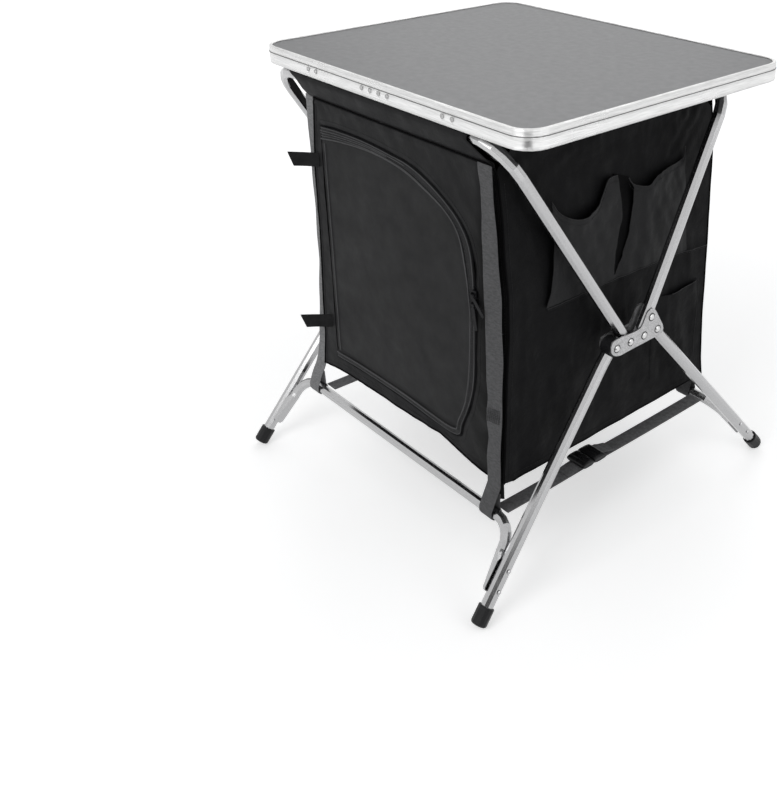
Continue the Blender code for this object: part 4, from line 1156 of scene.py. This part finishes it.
# rear wall, bottom and shelf
rearWall = {
    "outline": [(-0.1600, 0.6405), (-0.1640, 0.6000), (-0.1689, 0.5207), (-0.1729, 0.3711), (-0.1790, 0.2400),
                (-0.1850, 0.1770), (0.0, 0.1680), (0.2380, 0.1575), (0.2373, 0.2000), (0.2352, 0.3300),
                (0.2332, 0.4600), (0.2277, 0.6000), (0.2262, 0.6290), (0.2070, 0.6405)],
    "step": 0.006,
}
levels = {"bottom": 0.1950, "shelf": 0.4000, "front": -0.2285, "rear": 0.2075, "gap": 0.003, "step": 0.010,
          "thick": 0.0020, "sag": 0.004}


def rearPoint(x, z, lift=0.0):
    out = 0.0014 * wrinkle(x, z, 61.0, (0.08, 0.15)) - 0.0018 * bell(z - place["seam"], 0.0022)
    edge = valueAt(sideWalls["right"], z) - sideWalls["taper"]
    out += valueAt(sideWalls["rearOut"], z) * soft(x, edge - 0.05, edge)
    return Vector((x + place["frame"], place["rear"] + place["sheet"] + out + lift, z))


def makeRearWall():
    outline = rearWall["outline"]
    wall = sheetMesh("rearWall", outline, [], rearWall["step"], rearPoint, place["thick"])
    path = [Vector((p.x - 0.004, place["rear"], p.z)) for p in sleevePath(0)[:-1]]
    sleeve = thicken(sleeveMesh("rearSleeve", path, -1), 0.0007)
    piece = addPiece("rearWallCloth", [wall, sleeve], "wall", "cabinet", ["rear_panel"])
    cords = [tubeMesh("rearPiping", laid(rearPoint, evenLine(outline[7:13], trimStep), -0.0006), 0.0015),
             tubeMesh("rearHem", laid(rearPoint, evenLine(outline[5:8], trimStep)), 0.0013)]
    addPiece("rearBinding", cords, "dark", "cabinet")


def makeLevels():
    front, rear = levels["front"], levels["rear"]
    for name, z, sag in (("bottom", levels["bottom"], 0.0), ("shelf", levels["shelf"], levels["sag"])):
        left, right = valueAt(sideWalls["left"], z) + levels["gap"], valueAt(sideWalls["right"], z) - levels["gap"]
        outline = [(left, front), (right - taper(front) - 0.006, front), (right - taper(front + 0.03), front + 0.03),
                   (right - taper(rear), rear), (left, rear)]

        def level(x, y):
            low = sag * sin(pi * soft(x, left, right)) * sin(pi * soft(y, front, rear))
            return Vector((x + place["frame"], y, z + 0.0008 - low + 0.0007 * wrinkle(x, y, z * 9, (0.07, 0.07))))

        title = "cabinet" + name.title()
        mesh = sheetMesh(title, outline, [], levels["step"], level, levels["thick"])
        piece = addPiece(title, mesh, "inner", "cabinet", [name + "_panel"])
        foldBack(piece)


makeRearWall()
makeLevels()
print("rear wall, bottom and shelf ready")


# straps
straps = {
    "thick": 0.0016,
    "wide": 0.0265,
    "loop": 0.0094,                  # middle of the strap round the low rail
    "sewn": (0.2700, 0.2900),        # heights between which the doubled strap is sewn
    "thread": {"pitch": 0.0026, "length": 0.0020, "radius": 0.00034},
    "zigzag": 14,
    "front": (-0.2257, 0.1099),      # the low rails
    "rear": (0.2219, 0.1119),
    # (height, middle, stand-off of the left and right edge); the last row is at the rail
    "frontRight": [(0.6360, 0.2365, 0.0000, 0.0000), (0.6000, 0.2372, 0.0003, -0.0010),
                   (0.5200, 0.2385, 0.0008, -0.0060), (0.4500, 0.2398, 0.0012, -0.0095),
                   (0.3600, 0.2415, 0.0012, -0.0092), (0.2900, 0.2433, 0.0012, -0.0050),
                   (0.2200, 0.2433, 0.0006, -0.0012), (0.1700, 0.2433, 0.0, 0.0),
                   (0.1480, 0.2350, -0.0005, -0.0005), (0.1150, 0.2215, -0.0014, -0.0014)],
    "frontLeft": [(0.6360, -0.1710, 0, 0), (0.4500, -0.1700, 0, 0), (0.3600, -0.1720, 0, 0),
                  (0.2200, -0.1900, 0, 0), (0.1900, -0.1980, 0, 0), (0.1660, -0.2045, 0.0020, 0.0020),
                  (0.1460, -0.2130, 0.0048, 0.0048), (0.1150, -0.2285, 0.0048, 0.0048)],
    "rearRight": [(0.6360, 0.2050, 0.0003, 0.0022), (0.5600, 0.2050, 0.0008, 0.0075),
                  (0.5100, 0.2050, 0.0007, 0.0062), (0.4400, 0.2050, 0.0004, 0.0038),
                  (0.3700, 0.2050, 0.0003, 0.0028), (0.2640, 0.2050, 0.0004, 0.0004),
                  (0.1800, 0.2050, 0.0010, 0.0030), (0.1150, 0.2050, 0.0157, 0.0157)],
    "rearLeft": [(0.6360, -0.1710, 0, 0), (0.3600, -0.1720, 0, 0), (0.2200, -0.1900, 0, 0),
                 (0.1660, -0.2045, 0, 0), (0.1460, -0.2130, 0.0090, 0.0090), (0.1150, -0.2285, 0.0219, 0.0219)],
}


def rowAt(rows, z):
    # the strap's middle and the stand-off of its two edges at a height
    return (valueAt([(-row[0], row[k]) for row in rows], -z) for k in (1, 2, 3))


def hangingStrap(name, node, body, rows, front, outside, finish="webbing", onWall=False):
    # down the wall, round the low rail and up again behind itself
    wall, (railY, railZ) = (place["front"], straps["front"]) if front < 0 else (place["rear"], straps["rear"])
    path, widths, normals = [], [], []
    steps, half = 76, straps["wide"] / 2
    top, low = rows[0][0], rows[-1][0]
    for i in range(steps + 1):
        z = top + (low - top) * i / steps
        middle, left, right = rowAt(rows, z)
        wave = 0.0005 * sin(z * 70 + railY * 9) * soft(top - z, 0.0, 0.05)
        a, b = (Vector((middle + side * half, wall + front * (outside + off + wave), z))
                for side, off in ((-1, left), (1, right)))
        if onWall:
            # its inner edge lies on the cloth, between the sleeve and the wall's foot
            lies = soft(z, 0.180, 0.215) * (1 - soft(z, 0.600, 0.630))
            a.y += (frontPoint(a.x, z).y - 0.0013 - a.y) * lies
        path.append((a + b) / 2)
        widths.append(b - a)
        normals.append(Vector((0, front, 0)))
    x, r = path[-1].x, straps["loop"]
    across = Vector((straps["wide"], 0, 0))
    for i in range(1, 19):
        angle = radians(180 + 190 * i / 18)
        out = Vector((0, -front * cos(angle), sin(angle)))
        path.append(Vector((x, railY, railZ)) + out * r)
        widths.append(across)
        normals.append(out)
    tail = railY - front * (r - 0.004)
    lean = (rows[-3][1] - rows[-1][1]) / (rows[-3][0] - rows[-1][0])
    for out, up in ((0.002, 0.012), (0.006, 0.026), (0.012, 0.046)):
        path.append(Vector((x + up * lean, tail + front * out, railZ + up)))
        widths.append(across * 0.9)
        normals.append(Vector((0, -front, 0)))
    path = [p + Vector((place["frame"], 0, 0)) for p in path]
    mesh = strapMesh(name, path, widths, normals, straps["thick"], 8)
    foldUp(addPiece(name, mesh, finish, body, [node]))
    if outside > 0:
        # box of sewing where the doubled strap ends, and a zigzag across it
        half -= 0.003
        ends = []
        for z in straps["sewn"]:
            middle, left, right = rowAt(rows, z)
            ends += [Vector((middle + s * half + place["frame"],
                             wall + front * (outside + (left + right) / 2 + s * (right - left) / 2 + 0.0012), z))
                     for s in (-1, 1)]
        a, b, c, d = ends
        lines = [[a, b], [c, d], [a, c], [b, d]]
        for k in range(straps["zigzag"]):
            s, t = k / straps["zigzag"], (k + 1) / straps["zigzag"]
            lines.append([a.lerp(b, s), c.lerp(d, t)] if k % 2 else [c.lerp(d, s), a.lerp(b, t)])
        foldUp(addStitches(name + "Stitches", lines, Vector((0, front, 0)), "greyThread", body,
                           straps["thread"]))


def makeHangingStraps():
    out, back = 0.0038, -0.0024     # on the wall's outer side and behind it
    hangingStrap("frontRightStrap", "strap_front_right", "front_wall", straps["frontRight"], -1, out,
                 onWall=True)
    # the front left strap takes the grey webbing lightened as painted light
    hangingStrap("frontLeftStrap", "strap_front_left", "front_wall", straps["frontLeft"], -1, back,
                 "webbingPaintedLight")
    hangingStrap("rearRightStrap", "strap_rear_right", "cabinet", straps["rearRight"], 1, out)
    hangingStrap("rearLeftStrap", "strap_rear_left", "cabinet", straps["rearLeft"], 1, back)


crossStraps = {
    "right": 0.2346, "left": -0.2080,
    "front": (-0.2146, -0.0480),
    "rear": {"right": (-0.0440, 0.2126), "left": (-0.0440, 0.2102)},
    "height": 0.1132, "dip": 0.0010, "wide": 0.025,
    # the short doubled ends that lie on the buckle, as (Y, Z)
    "frontEnd": [(-0.0963, 0.1140), (-0.0880, 0.1152), (-0.0740, 0.1165), (-0.0640, 0.1162)],
    "rearEnd": [(-0.0300, 0.1215), (-0.0190, 0.1218), (-0.0100, 0.1185), (0.0025, 0.1152)],
    "endWide": 0.0246,
}
buckle = {"socketEnd": -0.0488, "plugStart": -0.0470, "grips": (0.28, 0.50, 0.72), "gripRadius": 0.0009}


def makeCrossStraps(side):
    x = crossStraps[side] + place["frame"]
    for end, (start, stop) in (("Front", crossStraps["front"]), ("Rear", crossStraps["rear"][side])):
        path = [Vector((x, start + (stop - start) * i / 44,
                        crossStraps["height"] - crossStraps["dip"] * sin(pi * i / 44))) for i in range(45)]
        mesh = straightStrap("cross" + end + side, path, Vector((crossStraps["wide"], 0, 0)), Vector((0, 0, 1)),
                             straps["thick"])
        # the cross strap takes the webbing lightened as painted light
        foldBack(addPiece("crossStrap" + end + side.title(), mesh, "crossWebbingPaintedLight", "cabinet",
                          ["cross_strap_" + end.lower() + "_" + side]))


def makeCornerLoop():
    # short black webbing behind the right strap, from the wall's lower corner to the cross strap
    spec = {"top": (0.2420, -0.2262, 0.1790), "low": (0.2345, -0.2190, 0.1330), "wide": 0.0135}
    top, low = (Vector(spec[k]) + Vector((place["frame"], 0, 0)) for k in ("top", "low"))
    path = [top.lerp(low, i / 8) for i in range(9)]
    across = Vector((spec["wide"] * 0.8, spec["wide"] * 0.6, 0))
    mesh = straightStrap("cornerLoop", path, across, Vector((0.6, -0.8, 0)), 0.0014, 4)
    foldUp(addPiece("cornerLoop", mesh, "tab", "front_wall"))


def humpMesh(name, low, high, shift=0.0, rows=20, columns=14):
    # low rounded bar across the strap, with softened ends
    points, uv = [], []
    middle = [(a + b) / 2 for a, b in zip(low, high)]
    half = [(b - a) / 2 for a, b in zip(low, high)]
    for i in range(columns + 1):
        s = -1 + 2 * i / columns
        end = max(0.55, max(0.0, 1 - abs(s) ** 6) ** 0.25)
        for k in range(rows):
            a = turn(k, rows)
            c, d = cos(a), sin(a)
            y = middle[1] + half[1] * copysign(abs(c) ** 0.6, c) * (0.90 + 0.10 * end)
            z = middle[2] + half[2] * copysign(abs(d) ** 0.7, d) * end
            # a waist for the fingers and a slope towards the front
            z += half[2] * 0.25 * (d > 0) * cos(a + shift) * end
            points.append(Vector((middle[0] + half[0] * s, y, min(z, high[2]))))
            uv.append((s * half[0], a * 0.004))
    return outward(addMesh(name, points, ringFaces(columns + 1, rows), uv, 50))


def makeBuckle(side):
    # moulded socket and plug over the CAD ones, with the doubled ends of the strap
    for part, shift in (("socket", 0.4), ("plug", 2.7)):
        node = "buckle_" + part + "_" + side
        low, high = (list(corner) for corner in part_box(node))
        if part == "socket":
            high[1] = buckle["socketEnd"]
        else:
            low[1] = buckle["plugStart"]
        parts = [humpMesh(part, low, high, shift)]
        for share in buckle["grips"]:
            y = low[1] + (high[1] - low[1]) * share
            line = [Vector((low[0] + 0.005 + (high[0] - low[0] - 0.010) * i / 8, y, high[2] - 0.0006))
                    for i in range(9)]
            parts.append(tubeMesh("grip", line, buckle["gripRadius"], 6))
        name = "buckle" + part.title() + side.title()
        addPiece(name, parts, "buckle", part + "_" + side, [node])
    x = crossStraps[side] + place["frame"]
    for part, end in (("socket", "front"), ("plug", "rear")):
        line = smoothLine([(x, y, z) for y, z in crossStraps[end + "End"]], 5)
        # the doubled ends take the webbing lightened as painted light
        mesh = straightStrap("strapEnd", line, Vector((crossStraps["endWide"], 0, 0)), Vector((0, 0, 1)),
                             straps["thick"])
        addPiece("strapEnd" + end.title() + side.title(), mesh, "crossWebbingPaintedLight", part + "_" + side)


makeHangingStraps()
makeCornerLoop()
makeBuckle("right")
makeBuckle("left")
makeCrossStraps("right")
makeCrossStraps("left")
print("straps ready")


# tie tabs: their height, and the way they point from the wall
tabs = {"upper": (0.5400, (-0.0360, -0.0273)), "lower": (0.2686, (-0.0334, -0.0352)), "start": -0.1520,
        "long": 0.050, "wide": 0.0220, "slant": 0.0085, "thick": 0.0018, "fold": -0.2342}


def makeTabs():
    for name in ("upper", "lower"):
        z, way = tabs[name]
        run = Vector((*way, 0)).normalized()
        out = Vector((run.y, -run.x, 0))
        start = Vector((tabs["start"] + place["frame"], place["front"] - 0.0024, z))
        path, widths = [], []
        for i in range(19):
            s = tabs["long"] * i / 18
            cut = tabs["slant"] * soft(s, 0.020, tabs["long"])        # the outer end is cut at a slant
            path.append(start + run * (s - cut / 2) + out * (0.0012 * sin(s * 55))
                        + Vector((0, 0, -0.0010 * s / tabs["long"])))
            widths.append(Vector((0, 0, tabs["wide"])) + run * cut)
        mesh = strapMesh(name + "Tab", path, widths, [out] * len(path), tabs["thick"], 8)
        piece = addPiece(name + "TieTab", mesh, "tab", "front_wall", ["tie_tab_" + name])
        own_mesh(piece)


makeTabs()
print("tie tabs ready")
